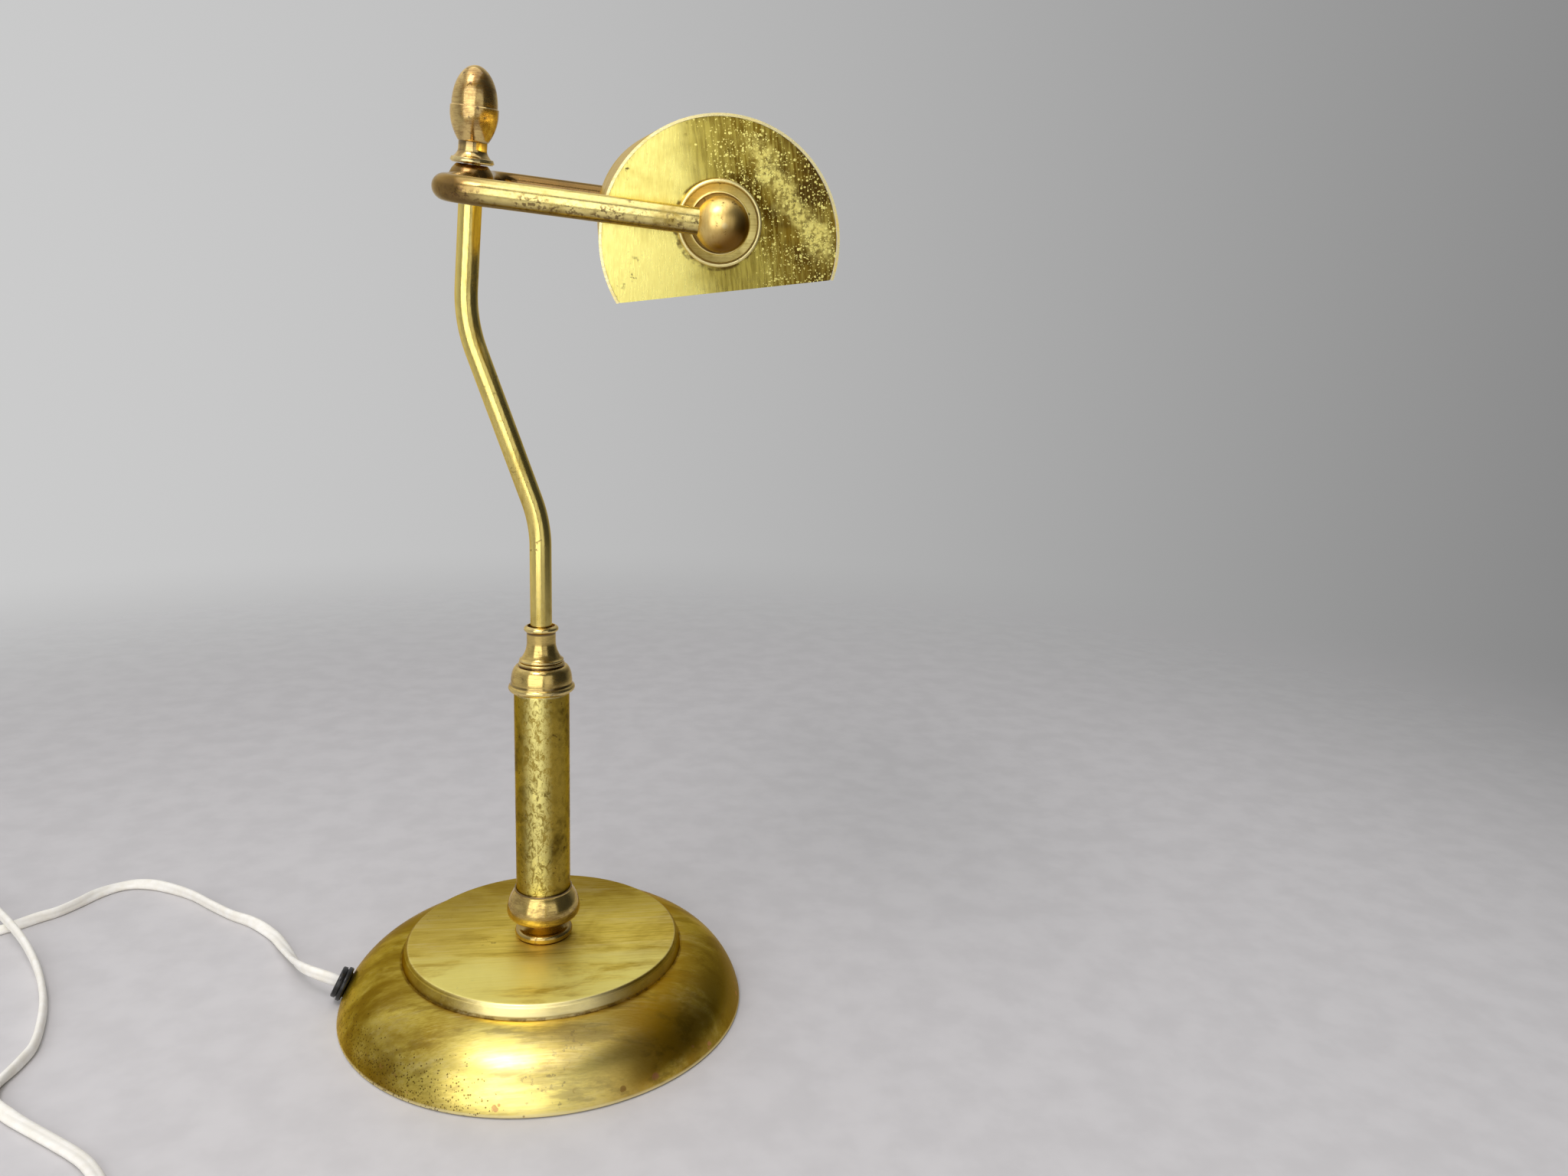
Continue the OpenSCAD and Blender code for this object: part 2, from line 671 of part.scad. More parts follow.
// Shade: sheet trough with a plate in each end, tilted about the pivot axis
// Frame of the shade: x across, y up and z along the axis towards -Y
module at_shade() {
  at_head() translate([yoke_reach, 0, 0]) rotate([0, -shade_tilt, 0]) rotate([90, 0, 0]) children();
}
module d_outline(r) {
  difference() {
    translate([0, -shade_drop]) circle(r = r);
    translate([-2 * r, -mouth_drop - 2 * r]) square([4 * r, 2 * r]);
  }
}
trough_half = shade_half + shade_lip;
module shade_trough() {
  color(BRASS) at_shade() translate([0, 0, -trough_half]) difference() {
    linear_extrude(height = 2 * trough_half) d_outline(shade_r);
    translate([0, -shade_drop, -over]) cylinder(r = shade_r - shade_t, h = 2 * (trough_half + over));
  }
}

module end_plate(side) {
  color(BRASS) at_shade() translate([0, 0, side < 0 ? shade_half - shade_t : -shade_half]) difference() {
    linear_extrude(height = shade_t) d_outline(shade_r - shade_t - run);
    translate([0, 0, -over]) cylinder(r = pivot_d / 2 + run, h = shade_t + 2 * over);
  }
}
module end_plate_near() { end_plate(-1); }
module end_plate_far() { end_plate(1); }

// Dished boss: a disc with a raised round rim, turned as one piece
module boss(side) {
  r = boss_d / 2;
  bore_r = pivot_d / 2 + run;
  edge = 0.8;
  rim_w = 1.7;
  seat_room = 0.4;
  seat_r = ball_r - ball_wall + seat_room;
  outline = concat(
    [[bore_r, 0], [r - edge, 0], [r, edge]],
    arc([r - rim_w / 2, boss_t + boss_rim - rim_w / 2], rim_w / 2, 0, 180),
    [[seat_r, boss_t], [bore_r, boss_t]]
  );
  color(BRASS) at_shade() mirror([0, 0, side < 0 ? 0 : 1]) translate([0, 0, shade_half])
    rotate_extrude() polygon(outline);
}
module boss_near() { boss(-1); }
module boss_far() { boss(1); }

// Lampholder on the far pivot's inner end, with its bulb along the shade's axis
holder_r = holder_d / 2;
holder_t = 1;
holder_cap_h = 14;
shell_z = holder_z + holder_cap_h;
core_r = holder_r - holder_t - fix;
core_back = 6;
core_len = holder_len - core_back;
core_floor = 4;
bulb_room = 0.2;
bulb_z = shell_z + core_floor + play;
glass_z = bulb_z + bulb_cap_len;
key_set_back = 7;
key_z = shell_z + key_set_back;
key_shaft_r = 2;
key_depth = 4;
key_collar = 3.4;

module lampholder_cap() {
  bore_r = pivot_d / 2 + fix;
  neck_wall = 2.4;
  rim_h = 2;
  floor_step = 1;
  neck = [bore_r + neck_wall, 0];
  rim = [holder_r, holder_cap_h - rim_h];
  outline = concat(
    [[bore_r, 0], neck], swell(neck, rim),
    [[holder_r, holder_cap_h], [holder_r - holder_t, holder_cap_h], [holder_r - holder_t, rim.y]],
    [[bore_r, rim.y - floor_step]]
  );
  color(DARK_BRASS) at_pivot(1) translate([0, 0, holder_z]) rotate_extrude() polygon(outline);
}

module lampholder_shell() {
  color(DARK_BRASS) at_pivot(1) difference() {
    translate([0, 0, shell_z]) ring(holder_r, holder_r - holder_t, holder_len);
    translate([0, 0, key_z]) rotate([90, 0, 0]) cylinder(r = key_shaft_r + run, h = holder_r + over);
  }
}

module lampholder_core() {
  color(WHITE) at_pivot(1) difference() {
    translate([0, 0, shell_z]) cylinder(r = core_r, h = core_len);
    translate([0, 0, shell_z + core_floor]) cylinder(r = bulb_cap_d / 2 + bulb_room, h = core_len);
    translate([0, 0, key_z]) rotate([90, 0, 0])
      translate([0, 0, core_r - key_depth]) cylinder(r = key_shaft_r + run, h = holder_r);
  }
}

module bulb_cap() {
  color(STEEL) at_pivot(1) translate([0, 0, bulb_z]) cylinder(r = bulb_cap_d / 2, h = bulb_cap_len);
}

// Outline of the bulb's glass from its neck to its round end, drawn in by a wall
bulb_neck_in = 0.3;
bulb_neck = 2;
bulb_shoulder = 10;
bulb_crown = 10;
glass_t = 0.8;
function bulb_outline(wall, low) =
  let (
    neck = [bulb_cap_d / 2 - bulb_neck_in - wall, bulb_neck],
    shoulder = [bulb_d / 2 - wall, bulb_neck + bulb_shoulder],
    side = [shoulder.x, bulb_len - bulb_crown]
  )
  concat([[0, low], [neck.x, low], neck], swell(neck, shoulder), [side], crown(side, [0, bulb_len - wall]));
module bulb_glass() {
  color(GLASS) at_pivot(1) translate([0, 0, glass_z]) difference() {
    rotate_extrude() polygon(bulb_outline(0, 0));
    rotate_extrude() polygon(bulb_outline(glass_t, -over));
  }
}

// Turn key: a shaft through the shell's side with a flat wing outside
module switch_key() {
  shaft_in = core_r - key_depth + 2 * fix + play;
  wing_t = 2.4;
  wing_in = 0.6;
  wing_out = 2.6;
  wing_w = key_w - 2 * wing_in;
  color(BLACK) at_pivot(1) translate([0, 0, key_z]) rotate([90, 0, 0]) {
    translate([0, 0, shaft_in]) cylinder(r = key_shaft_r, h = holder_r + play - shaft_in + over);
    translate([0, 0, holder_r + play]) cylinder(r = key_w / 2, h = key_collar);
    translate([-wing_t / 2, -wing_w / 2, holder_r + play]) cube([wing_t, wing_w, key_collar + wing_out]);
  }
}

// Cord: route of the free stretch, each point with its roll from lying flat, in degrees
coil_c = [-185, -178];
coil_z = 3.9;
exit_run = 4;
exit_roll = -90;
entry_turn = 15;
exit_turn = 270;
coil_sweep = 360 * coil_turns + entry_turn - exit_turn + 360;
half_sweep = coil_sweep / 2;
inner_r = coil_mid_r - coil_step * half_sweep / 720;
function coil_radius(a) = inner_r + coil_step * abs(a - half_sweep) / 360;
// The climb to the upper layer takes the half turn round the middle of the winding
function coil_height(a) =
  let (climb = max(0, min(180, a - half_sweep + 90)))
  coil_z + coil_layer * (1 - cos(climb)) / 2;
function on_coil(a) = [
  coil_c.x + coil_radius(a) * cos(entry_turn - a),
  coil_c.y + coil_radius(a) * sin(entry_turn - a),
  coil_height(a)
];
entry = on_coil(0);
entry_dir = [cos(entry_turn - 90), sin(entry_turn - 90), 0];
lead_route = concat(
  [concat(cord_exit, exit_roll)],
  [concat(cord_exit + exit_run * cord_out, exit_roll)],
  [
    [-109.8, 7, 14.6, -88], [-115.6, 11.8, 14.4, -82], [-120.6, 19.8, 12.2, -70], [-125.4, 30.6, 8.8, -52],
    [-130.6, 42.8, 5.8, -30], [-137, 56.4, 3.5, -8], [-144.1, 69.5, 2.4, 8], [-153, 80.2, 2.7, 40],
    [-162, 88.4, 3.1, 75], [-173.2, 96.3, 3.1, 90], [-186.8, 108.7, 3.1, 90], [-201.1, 122.6, 3.1, 90],
    [-214.4, 132.3, 3.1, 82], [-227.2, 139.5, 2.9, 60], [-238.7, 142.4, 2.5, 35], [-248.1, 139.5, 2.2, 25],
    [-255.4, 131, 2.7, 50], [-260.5, 120.5, 3.1, 82], [-267.5, 110.1, 3.1, 90], [-274.9, 104.3, 3, 75],
    [-282.2, 98.5, 2.5, 45], [-289.6, 93.3, 2, 20], [-304, 82, 1.8, 8], [-319, 77, 2, 15],
    [-335, 80, 2.3, 30], [-346, 91, 2.6, 45], [-348, 107, 2.9, 60], [-340, 121, 3.2, 75],
    [-325, 128, 4.2, 85], [-310, 123.5, 6.2, 90], [-292.5, 101.2, 7.8, 90], [-280.7, 86.8, 7.6, 90],
    [-269.5, 73.1, 5.6, 90], [-258.5, 57.1, 3.9, 90], [-247.7, 38.4, 3.1, 88], [-237.1, 15.9, 3.1, 85],
    [-229.9, -4.8, 3.1, 85], [-225.4, -23.9, 3.1, 90], [-226.2, -38, 3.1, 95], [-228.4, -51, 2.9, 115],
    [-225.6, -62.5, 2.5, 145], [-214.7, -72.7, 2.2, 165], [-206.1, -79.5, 1.9, 178], [-197.1, -86.4, 1.9, 180],
    [-187.9, -93.5, 1.9, 180], [-179.2, -100.5, 1.9, 182], [-171.1, -108.6, 2.1, 190], [-162.5, -121, 2.4, 205],
    [-154.5, -141, 3.2, 235]
  ],
  [concat(entry - cord_w * entry_dir, 270)],
  [concat(entry, 270)]
);

// Rings of a flat tube: a section of n sides turned by its roll about the line's direction
function section(n) = [for (k = [0 : n - 1])
  let (a = (k + 0.5) * 360 / n) [cord_w / 2 * cos(a), cord_t / 2 * sin(a)]];
function flat3(p) = [p[0], p[1], p[2]];
function tangent(line, i, first, last) =
  i == 0 ? first : i == len(line) - 1 ? last : unit(flat3(line[i + 1]) - flat3(line[i - 1]));
function ring_points(p, dir, shape) =
  let (side = unit(cross(dir, [0, 0, 1])), up = cross(side, dir), c = cos(p[3]), s = sin(p[3]))
  [for (q = shape) flat3(p) + side * (q.x * c - q.y * s) + up * (q.x * s + q.y * c)];
function tube_rings(line, shape, first, last) =
  [for (i = [0 : len(line) - 1]) ring_points(line[i], tangent(line, i, first, last), shape)];

// A closed tube through rings of points, in triangles
module skin(rings) {
  n = len(rings[0]);
  m = len(rings);
  points = [for (r = rings) each r];
  walls = [for (i = [0 : m - 2], k = [0 : n - 1], half = [0, 1])
    let (a = i * n + k, b = i * n + (k + 1) % n)
    half == 0 ? [a, a + n, b] : [b, a + n, b + n]];
  ends = [for (k = [1 : n - 2], end = [0, 1])
    end == 0 ? [0, k, k + 1] : [(m - 1) * n, (m - 1) * n + k + 1, (m - 1) * n + k]];
  polyhedron(points = points, faces = concat(walls, ends));
}

// A point between two route points on a smooth line through all of them
function between(line, i, t) =
  let (
    a = line[max(0, i - 1)], b = line[i], c = line[i + 1], d = line[min(len(line) - 1, i + 2)]
  )
  b + 0.5 * t * ((c - a) + t * (2 * a - 5 * b + 4 * c - d + t * (3 * (b - c) + d - a)));
lead_sides = 8;
lead_line = [for (i = [0 : len(lead_route) - 2]) each
  i == 0 || i == len(lead_route) - 2 ? [lead_route[i]] : [lead_route[i], between(lead_route, i, 0.5)]];
lead_full = concat(lead_line, [lead_route[len(lead_route) - 1]]);
module cord_lead() {
  color(WHITE) skin(tube_rings(lead_full, section(lead_sides), cord_out, entry_dir));
}

// Coil: spirals in, climbs a layer in the half turn where it turns back, and spirals out to the plug
loop_rings = 24;
coil_sides = 6;
plug_z = 7;
plug_x = -226;
exit_point = on_coil(coil_sweep);
tail_end = [plug_x, exit_point.y, plug_z];
tail_dir = [-1, 0, 0];
coil_steps = ceil(coil_sweep / 360 * loop_rings);
coil_loops = [for (i = [1 : coil_steps]) concat(on_coil(coil_sweep * i / coil_steps), 270)];
tail_points = [for (i = [1 : 5]) let (t = i / 6, s = (1 - cos(180 * t)) / 2) [
  exit_point.x + (tail_end.x + cord_w - exit_point.x) * t,
  exit_point.y,
  exit_point.z + (tail_end.z - exit_point.z) * s,
  270 + 90 * s
]];
coil_line = concat(
  [concat(entry, 270)], coil_loops, tail_points,
  [concat(tail_end - cord_w * tail_dir, 360), concat(tail_end, 360)]
);
coil_ring_points = tube_rings(coil_line, section(coil_sides), entry_dir, tail_dir);
module cord_coil() {
  color(WHITE) skin(coil_ring_points);
}
// Least gap of the coil to itself, measured between points of rings more than half a turn apart
function coil_gap() = min([
  for (i = [0 : coil_steps], j = [i + loop_rings / 2 : 1 : len(coil_line) - 1])
    if (norm(flat3(coil_line[i]) - flat3(coil_line[j])) < 2 * cord_w)
      for (p = coil_ring_points[i], q = coil_ring_points[j]) norm(p - q)
]);
function steps(line) = [for (i = [1 : len(line) - 1]) norm(flat3(line[i]) - flat3(line[i - 1]))];
function total(v) = v * [for (i = v) 1];
echo(coil_gap = coil_gap());
echo(cord_length = total(steps(lead_full)) + total(steps(coil_line)));

// Tie: a thin strap round all the turns at one place on the coil
tie_turn = 130;
tie_w = 5;
tie_t = 0.6;
tie_side = 0.5;
tie_gap = 0.2;
module coil_tie() {
  in_x = inner_r - cord_t / 2 - tie_side;
  out_x = coil_radius(0) + cord_t / 2 + tie_side;
  low = coil_z - cord_w / 2 - tie_gap;
  high = coil_z + coil_layer + cord_w / 2 + tie_gap;
  color(WHITE) translate([coil_c.x, coil_c.y, 0]) rotate([0, 0, tie_turn]) difference() {
    translate([in_x - tie_t, -tie_w / 2, low - tie_t])
      cube([out_x - in_x + 2 * tie_t, tie_w, high - low + 2 * tie_t]);
    translate([in_x, -tie_w, low]) cube([out_x - in_x, 2 * tie_w, high - low]);
  }
}

// Plug: a flat two-pin body with a tapered cord sleeve, lying beside the coil
sleeve_len = 22;
plug_len = 35;
plug_w = 33;
plug_t = 13.6;
pin_d = 4;
pin_len = 19;
pin_gap = 18.6;
pin_seat = 6;
sleeve_back_r = 4.4;
sleeve_front_r = 6;
plug_back_w = 16;
plug_taper = 16;
module at_plug() {
  translate(tail_end) rotate([0, 0, 180]) children();
}
module plug_body() {
  color(WHITE) at_plug() difference() {
    union() {
      rotate([0, 90, 0]) cylinder(r1 = sleeve_back_r, r2 = sleeve_front_r, h = sleeve_len);
      translate([sleeve_len, 0, -plug_t / 2]) linear_extrude(height = plug_t) polygon([
        [0, -plug_back_w / 2], [plug_taper, -plug_w / 2], [plug_len, -plug_w / 2],
        [plug_len, plug_w / 2], [plug_taper, plug_w / 2], [0, plug_back_w / 2]
      ]);
    }
    for (side = [-1, 1]) translate([sleeve_len + plug_len - pin_seat, side * pin_gap / 2, 0])
      rotate([0, 90, 0]) cylinder(r = pin_d / 2 + fix, h = pin_seat + over);
  }
}
module plug_pins() {
  color(STEEL) at_plug() for (side = [-1, 1])
    translate([sleeve_len + plug_len - pin_seat, side * pin_gap / 2, 0])
      rotate([0, 90, 0]) cylinder(d = pin_d, h = pin_seat + pin_len);
}

base_shell();
base_weight();
base_felt();
base_washer();
base_nut();
tie_rod();
column_foot();
column_tube();
column_cap();
cap_coupler();
column_wire();
stem();
stem_clip();
stem_wire();
swivel_nipple();
finial();
yoke_hub();
yoke_arm_near();
yoke_arm_far();
arm_wire();
ball_near();
ball_far();
pivot_nipple_near();
pivot_nipple_far();
friction_washer_near();
friction_washer_far();
inner_washer_near();
inner_washer_far();
pivot_nut_near();
pivot_nut_far();
shade_trough();
end_plate_near();
end_plate_far();
boss_near();
boss_far();
lampholder_cap();
lampholder_shell();
lampholder_core();
bulb_cap();
bulb_glass();
switch_key();
cord_bushing();
cord_lead();
cord_coil();
coil_tie();
plug_body();
plug_pins();
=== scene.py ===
# %% [markdown]
# An aged brass desk lamp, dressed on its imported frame.
# The construction comes from the CAD model: every solid sits in one frame, in metres, with the
# table at z = 0 and the column on the z axis. This lesson loads that frame and gives the lamp its
# looks: finer meshes for the brass that shows, one free mains cord, and a finish for every piece.

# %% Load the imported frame
from math import acos, atan2, cos, degrees, exp, pi, radians, sin, sqrt, tan

import bmesh
import bpy
from mathutils import Matrix, Vector


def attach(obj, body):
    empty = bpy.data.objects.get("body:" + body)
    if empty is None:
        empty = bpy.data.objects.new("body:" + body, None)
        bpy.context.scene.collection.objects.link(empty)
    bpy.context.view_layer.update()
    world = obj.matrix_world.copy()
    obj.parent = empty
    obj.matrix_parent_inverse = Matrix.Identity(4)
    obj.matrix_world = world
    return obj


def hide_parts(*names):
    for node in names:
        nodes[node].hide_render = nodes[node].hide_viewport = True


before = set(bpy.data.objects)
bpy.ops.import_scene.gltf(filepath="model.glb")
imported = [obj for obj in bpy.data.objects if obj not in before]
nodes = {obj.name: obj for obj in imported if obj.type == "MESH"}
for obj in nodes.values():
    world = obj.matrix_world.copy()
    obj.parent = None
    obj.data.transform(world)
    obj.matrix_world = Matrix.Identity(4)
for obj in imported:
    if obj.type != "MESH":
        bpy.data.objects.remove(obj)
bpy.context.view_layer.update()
MM = 0.001

# %% [markdown]
# The camera.
# The photograph looks down a little on the lamp, from in front of the shade's near end. A camera
# can be aimed by hand or solved from known sizes. Here it was solved from the base's round rim, the
# disc and the column, so its place and its axes are written down as numbers.

# %% Camera
SENSOR_W, LENS, NEAR_CLIP = 36, 27.07, 0.01
scene = bpy.context.scene
scene.view_settings.view_transform = "Standard"
eye = Vector((0.0183, -0.5503, 0.3250))
look = Vector((0.1700, 0.9642, -0.2033)).normalized()
to_right = Vector((0.9854, -0.1667, 0.0334)).normalized()
to_top = to_right.cross(look).normalized()
to_right = look.cross(to_top)
camera_data = bpy.data.cameras.new("camera")
camera_data.sensor_width = SENSOR_W
camera_data.lens = LENS
camera_data.clip_start = NEAR_CLIP
camera = bpy.data.objects.new("camera", camera_data)
camera.matrix_world = Matrix.Translation(eye) @ Matrix((to_right, to_top, -look)).transposed().to_4x4()
scene.collection.objects.link(camera)
scene.camera = camera
print("camera at", tuple(round(v, 3) for v in eye))

# %% [markdown]
# Outlines.
# Most of the lamp is turned or spun work, so most meshes are an outline carried round an axis. An
# outline is a closed loop of (radius, height) points in millimetres. It could be drawn point by
# point, but arcs and quarter ellipses need only their ends. Sharp corners of real metal are never
# quite sharp, and the small round edge is what catches the light, so a loop is softened before it
# is turned.

# %% Outlines
CORNER_STEPS, WIDEST_TURN, MOST_CUT, ON_AXIS = 4, 2.6, 0.45, 1e-6


def soften(loop, radius, least=18):
    """Rounds each corner of a closed loop that turns by more than `least` degrees, but for the axis."""
    out = []
    for i, here in enumerate(loop):
        p = Vector(here)
        back = Vector(loop[i - 1]) - p
        on = Vector(loop[(i + 1) % len(loop)]) - p
        turn = pi - back.angle(on, pi)
        if turn < radians(least) or abs(p.x) < ON_AXIS:
            out.append(p)
            continue
        cut = min(radius * tan(min(turn, WIDEST_TURN) / 2), MOST_CUT * back.length, MOST_CUT * on.length)
        a, b = p + back.normalized() * cut, p + on.normalized() * cut
        for k in range(CORNER_STEPS + 1):
            t = k / CORNER_STEPS
            out.append(a * (1 - t) ** 2 + p * 2 * t * (1 - t) + b * t ** 2)
    return [tuple(q) for q in out]


def arc(centre, r, start, end, n=16):
    turns = [radians(start + (end - start) * i / n) for i in range(n + 1)]
    return [(centre[0] + r * cos(t), centre[1] + r * sin(t)) for t in turns]


def quarter_turns(n):
    return [i * pi / 2 / n for i in range(1, n + 1)]


def swell(a, b, n=20):
    """Quarter of an ellipse from a to b, level at a and upright at b, without a itself."""
    return [(a[0] + (b[0] - a[0]) * sin(t), b[1] - (b[1] - a[1]) * cos(t)) for t in quarter_turns(n)]


def crown(a, b, n=20):
    """Quarter of an ellipse from a to b, upright at a and level at b, without a itself."""
    return [(b[0] + (a[0] - b[0]) * cos(t), a[1] + (b[1] - a[1]) * sin(t)) for t in quarter_turns(n)]


def taper(a, b, n=16):
    """Hollow taper from a to b, upright at b, without a itself."""
    return [(b[0] + (a[0] - b[0]) * (1 - i / n) ** 2, a[1] + (b[1] - a[1]) * i / n) for i in range(1, n + 1)]


def drawn_in(a, b, n=16):
    """Rounded line drawn in from a to b, upright at a, without a itself."""
    return [(a[0] + (b[0] - a[0]) * (i / n) ** 2, a[1] + (b[1] - a[1]) * i / n) for i in range(1, n + 1)]


# %% [markdown]
# Wear of an outline.
# Hands and cloths rub the outer corners of turned brass bright, and dirt stays in its grooves. That
# could be painted by hand. Here each point of an outline measures how the outline bends near it, and
# the mesh carries the result as an attribute, which the finishes read.

# %% Wear
WEAR_REACH, WEAR_EDGE = 0.9, 2.0


def wear_of(loop):
    """For each point of a loop, +1 on an outer corner that gets rubbed to -1 in a corner that holds dirt."""
    points = [Vector(p) for p in loop]
    steps = list(zip(points, points[1:] + points[:1]))
    way = 1 if sum(a.x * b.y - b.x * a.y for a, b in steps) > 0 else -1
    bends = []
    for (a, b), (_, c) in zip(steps[-1:] + steps[:-1], steps):
        u, w = b - a, c - b
        bends.append(way * atan2(u.x * w.y - u.y * w.x, u.dot(w)))

    def nearby(p):
        return sum(t * exp(-((p - q).length / WEAR_REACH) ** 2) for q, t in zip(points, bends))

    return [max(-1, min(1, nearby(p))) for p in points]


def split_long(loop):
    """Puts a point near each end of every long run, so that the wear of a corner stays near it."""
    out = []
    for a, b in zip(loop, loop[1:] + loop[:1]):
        a, b = Vector(a), Vector(b)
        out.append(tuple(a))
        if (b - a).length > 3 * WEAR_EDGE:
            step = (b - a).normalized() * WEAR_EDGE
            out += [tuple(a + step), tuple(b - step)]
    return out


# %% [markdown]
# Meshes from outlines.
# A Screw modifier could carry an outline round its axis. Writing the rings of vertices takes a few
# lines more, puts the wear on each of them, and leaves a finished mesh at the origin, where the
# export wants it.

# %% Turned and swept meshes
def placed(place, points):
    """Points in millimetres, put into a placed frame."""
    return [place @ Vector((x * MM, y * MM, z * MM)) for x, y, z in points]


def shift(x, y, z):
    return Matrix.Translation((x * MM, y * MM, z * MM))


def spin(angle, axis):
    return Matrix.Rotation(angle, 4, axis)


def turned(loop, place=Matrix(), sides=96):
    """Vertices, faces and wear of a closed (radius, height) loop carried round the z axis of `place`."""
    verts, rings, faces, wear = [], [], [], []
    turns = [2 * pi * k / sides for k in range(sides)]
    loop = split_long(loop)
    for (r, z), worn in zip(loop, wear_of(loop)):
        if r < ON_AXIS:
            rings.append([len(verts)] * sides)
            verts += placed(place, [(0, 0, z)])
            wear.append(worn)
            continue
        rings.append(list(range(len(verts), len(verts) + sides)))
        verts += placed(place, [(r * cos(t), r * sin(t), z) for t in turns])
        wear += [worn] * sides
    for low, high in zip(rings, rings[1:] + rings[:1]):
        for k in range(sides):
            j = (k + 1) % sides
            face = list(dict.fromkeys((low[k], low[j], high[j], high[k])))
            if len(face) > 2:
                faces.append(face)
    return verts, faces, wear


def swept(sections):
    """Vertices and faces of a closed skin through equal loops of points, with both ends filled."""
    n = len(sections[0])
    verts = [p for s in sections for p in s]
    faces = [
        [i * n + k, i * n + (k + 1) % n, (i + 1) * n + (k + 1) % n, (i + 1) * n + k]
        for i in range(len(sections) - 1) for k in range(n)
    ]
    faces.append(list(range(n))[::-1])
    faces.append(list(range((len(sections) - 1) * n, len(sections) * n)))
    return verts, faces


# %% [markdown]
# Pieces.
# Every mesh becomes an object in the same way: doubles are merged, faces are turned outwards, and
# edges stay sharp only above an angle. Fitting it gives it its finish, hides the CAD node that it
# stands for, and makes it ride on that node's body, so it moves when a joint does.

# %% Pieces
DOUBLES = 1e-7
finishes = {}


def add_piece(name, shape, sharp=35):
    """A mesh object at the origin with outward faces, smooth but for edges above `sharp` degrees."""
    mesh = bpy.data.meshes.new(name)
    mesh.from_pydata([tuple(v) for v in shape[0]], [], shape[1])
    if len(shape) > 2:
        mesh.attributes.new("wear", "FLOAT", "POINT").data.foreach_set("value", shape[2])
    work = bmesh.new()
    work.from_mesh(mesh)
    bmesh.ops.remove_doubles(work, verts=work.verts, dist=DOUBLES)
    bmesh.ops.recalc_face_normals(work, faces=work.faces)
    work.to_mesh(mesh)
    work.free()
    mesh.shade_smooth()
    mesh.set_sharp_from_angle(angle=radians(sharp))
    piece = bpy.data.objects.new(name, mesh)
    scene.collection.objects.link(piece)
    return piece


def coat(piece, *names):
    piece.data.materials.clear()
    for name in names:
        piece.data.materials.append(finishes[name])


def fit(piece, body, slot, finish, *stands_for):
    """Finishes the piece and rides it on a body, in place of the CAD nodes it stands for."""
    coat(piece, finish)
    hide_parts(*stands_for)
    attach(piece, body)
    print(piece.name, "on", body, len(piece.data.polygons), "faces")


def make(name, shape, *fitting, sharp=35):
    """A new piece, fitted at once."""
    piece = add_piece(name, shape, sharp)
    fit(piece, *fitting)
    return piece


# %% [markdown]
# The mains cord.
# The cord is a flat twin lead, two cores side by side in one white sheath. It leaves a bushing low
# in the base's dome, so the dome's arc comes first: it is the circle through the rim and the disc's
# foot that has the rim's slope.

# %% Where the cord leaves the base
BASE_R, BASE_H, DISC_R, DISC_STEP, DISC_FLARE = 98.0, 34.0, 65.8, 6.4, 1.7
FELT_PROUD, RIM_SLOPE = 0.8, radians(78)
BUSHING_TURN, BUSHING_TIP = radians(177), radians(26)
BUSHING_FLANGE, BUSHING_OUT, BUSHING_GROOVE = 2.4, 0.2, 0.4
LOBE_Z = BUSHING_OUT + BUSHING_FLANGE + BUSHING_GROOVE
BUSHING_FACE = LOBE_Z + BUSHING_FLANGE

rim_point = Vector((BASE_R, FELT_PROUD))
disc_foot = Vector((DISC_R + DISC_FLARE, BASE_H - DISC_STEP))
chord = disc_foot - rim_point
inward = Vector((-sin(RIM_SLOPE), -cos(RIM_SLOPE)))
DOME_R = chord.dot(chord) / (2 * chord.dot(inward))
dome_c = rim_point + DOME_R * inward
bushing_at = Vector((dome_c.x + DOME_R * cos(BUSHING_TIP), dome_c.y + DOME_R * sin(BUSHING_TIP)))
cord_out = Vector((
    cos(BUSHING_TIP) * cos(BUSHING_TURN), cos(BUSHING_TIP) * sin(BUSHING_TURN), sin(BUSHING_TIP)))
cord_exit = BUSHING_FACE * cord_out + Vector((
    bushing_at.x * cos(BUSHING_TURN), bushing_at.x * sin(BUSHING_TURN), bushing_at.y))
print("dome of", round(DOME_R, 1), "mm, cord out at", tuple(round(v, 1) for v in cord_exit))

# %% [markdown]
# The length that isn't seen lies wound in a tied coil outside the view. Its turns spiral in, climb a
# layer in the half turn where the spiral reverses, and spiral out again. A formula gives them, so
# that they lie evenly beside and on each other.

# %% Coil of the spare length
CORD_W, CORD_T = 6.0, 3.4
COIL_C, COIL_Z, COIL_TURNS = Vector((-185, -178)), 3.9, 5
COIL_MID_R, COIL_STEP, COIL_LAYER = 33.0, 4.4, 7.0
ENTRY_TURN, EXIT_TURN = 15, 270
LOOP_STEPS, TAIL_STEPS = 48, 13
PLUG_X, PLUG_Z = -226, 7
ON_EDGE, FLAT = 270, 360
SWEEP = 360 * COIL_TURNS + ENTRY_TURN - EXIT_TURN + 360
coil_inner = COIL_MID_R - COIL_STEP * SWEEP / 2 / 720


def coil_radius(a):
    return coil_inner + COIL_STEP * abs(a - SWEEP / 2) / 360


def on_coil(a):
    climb = max(0, min(180, a - SWEEP / 2 + 90))
    turn = radians(ENTRY_TURN - a)
    r = coil_radius(a)
    height = COIL_Z + COIL_LAYER * (1 - cos(radians(climb))) / 2
    return Vector((COIL_C.x + r * cos(turn), COIL_C.y + r * sin(turn), height))


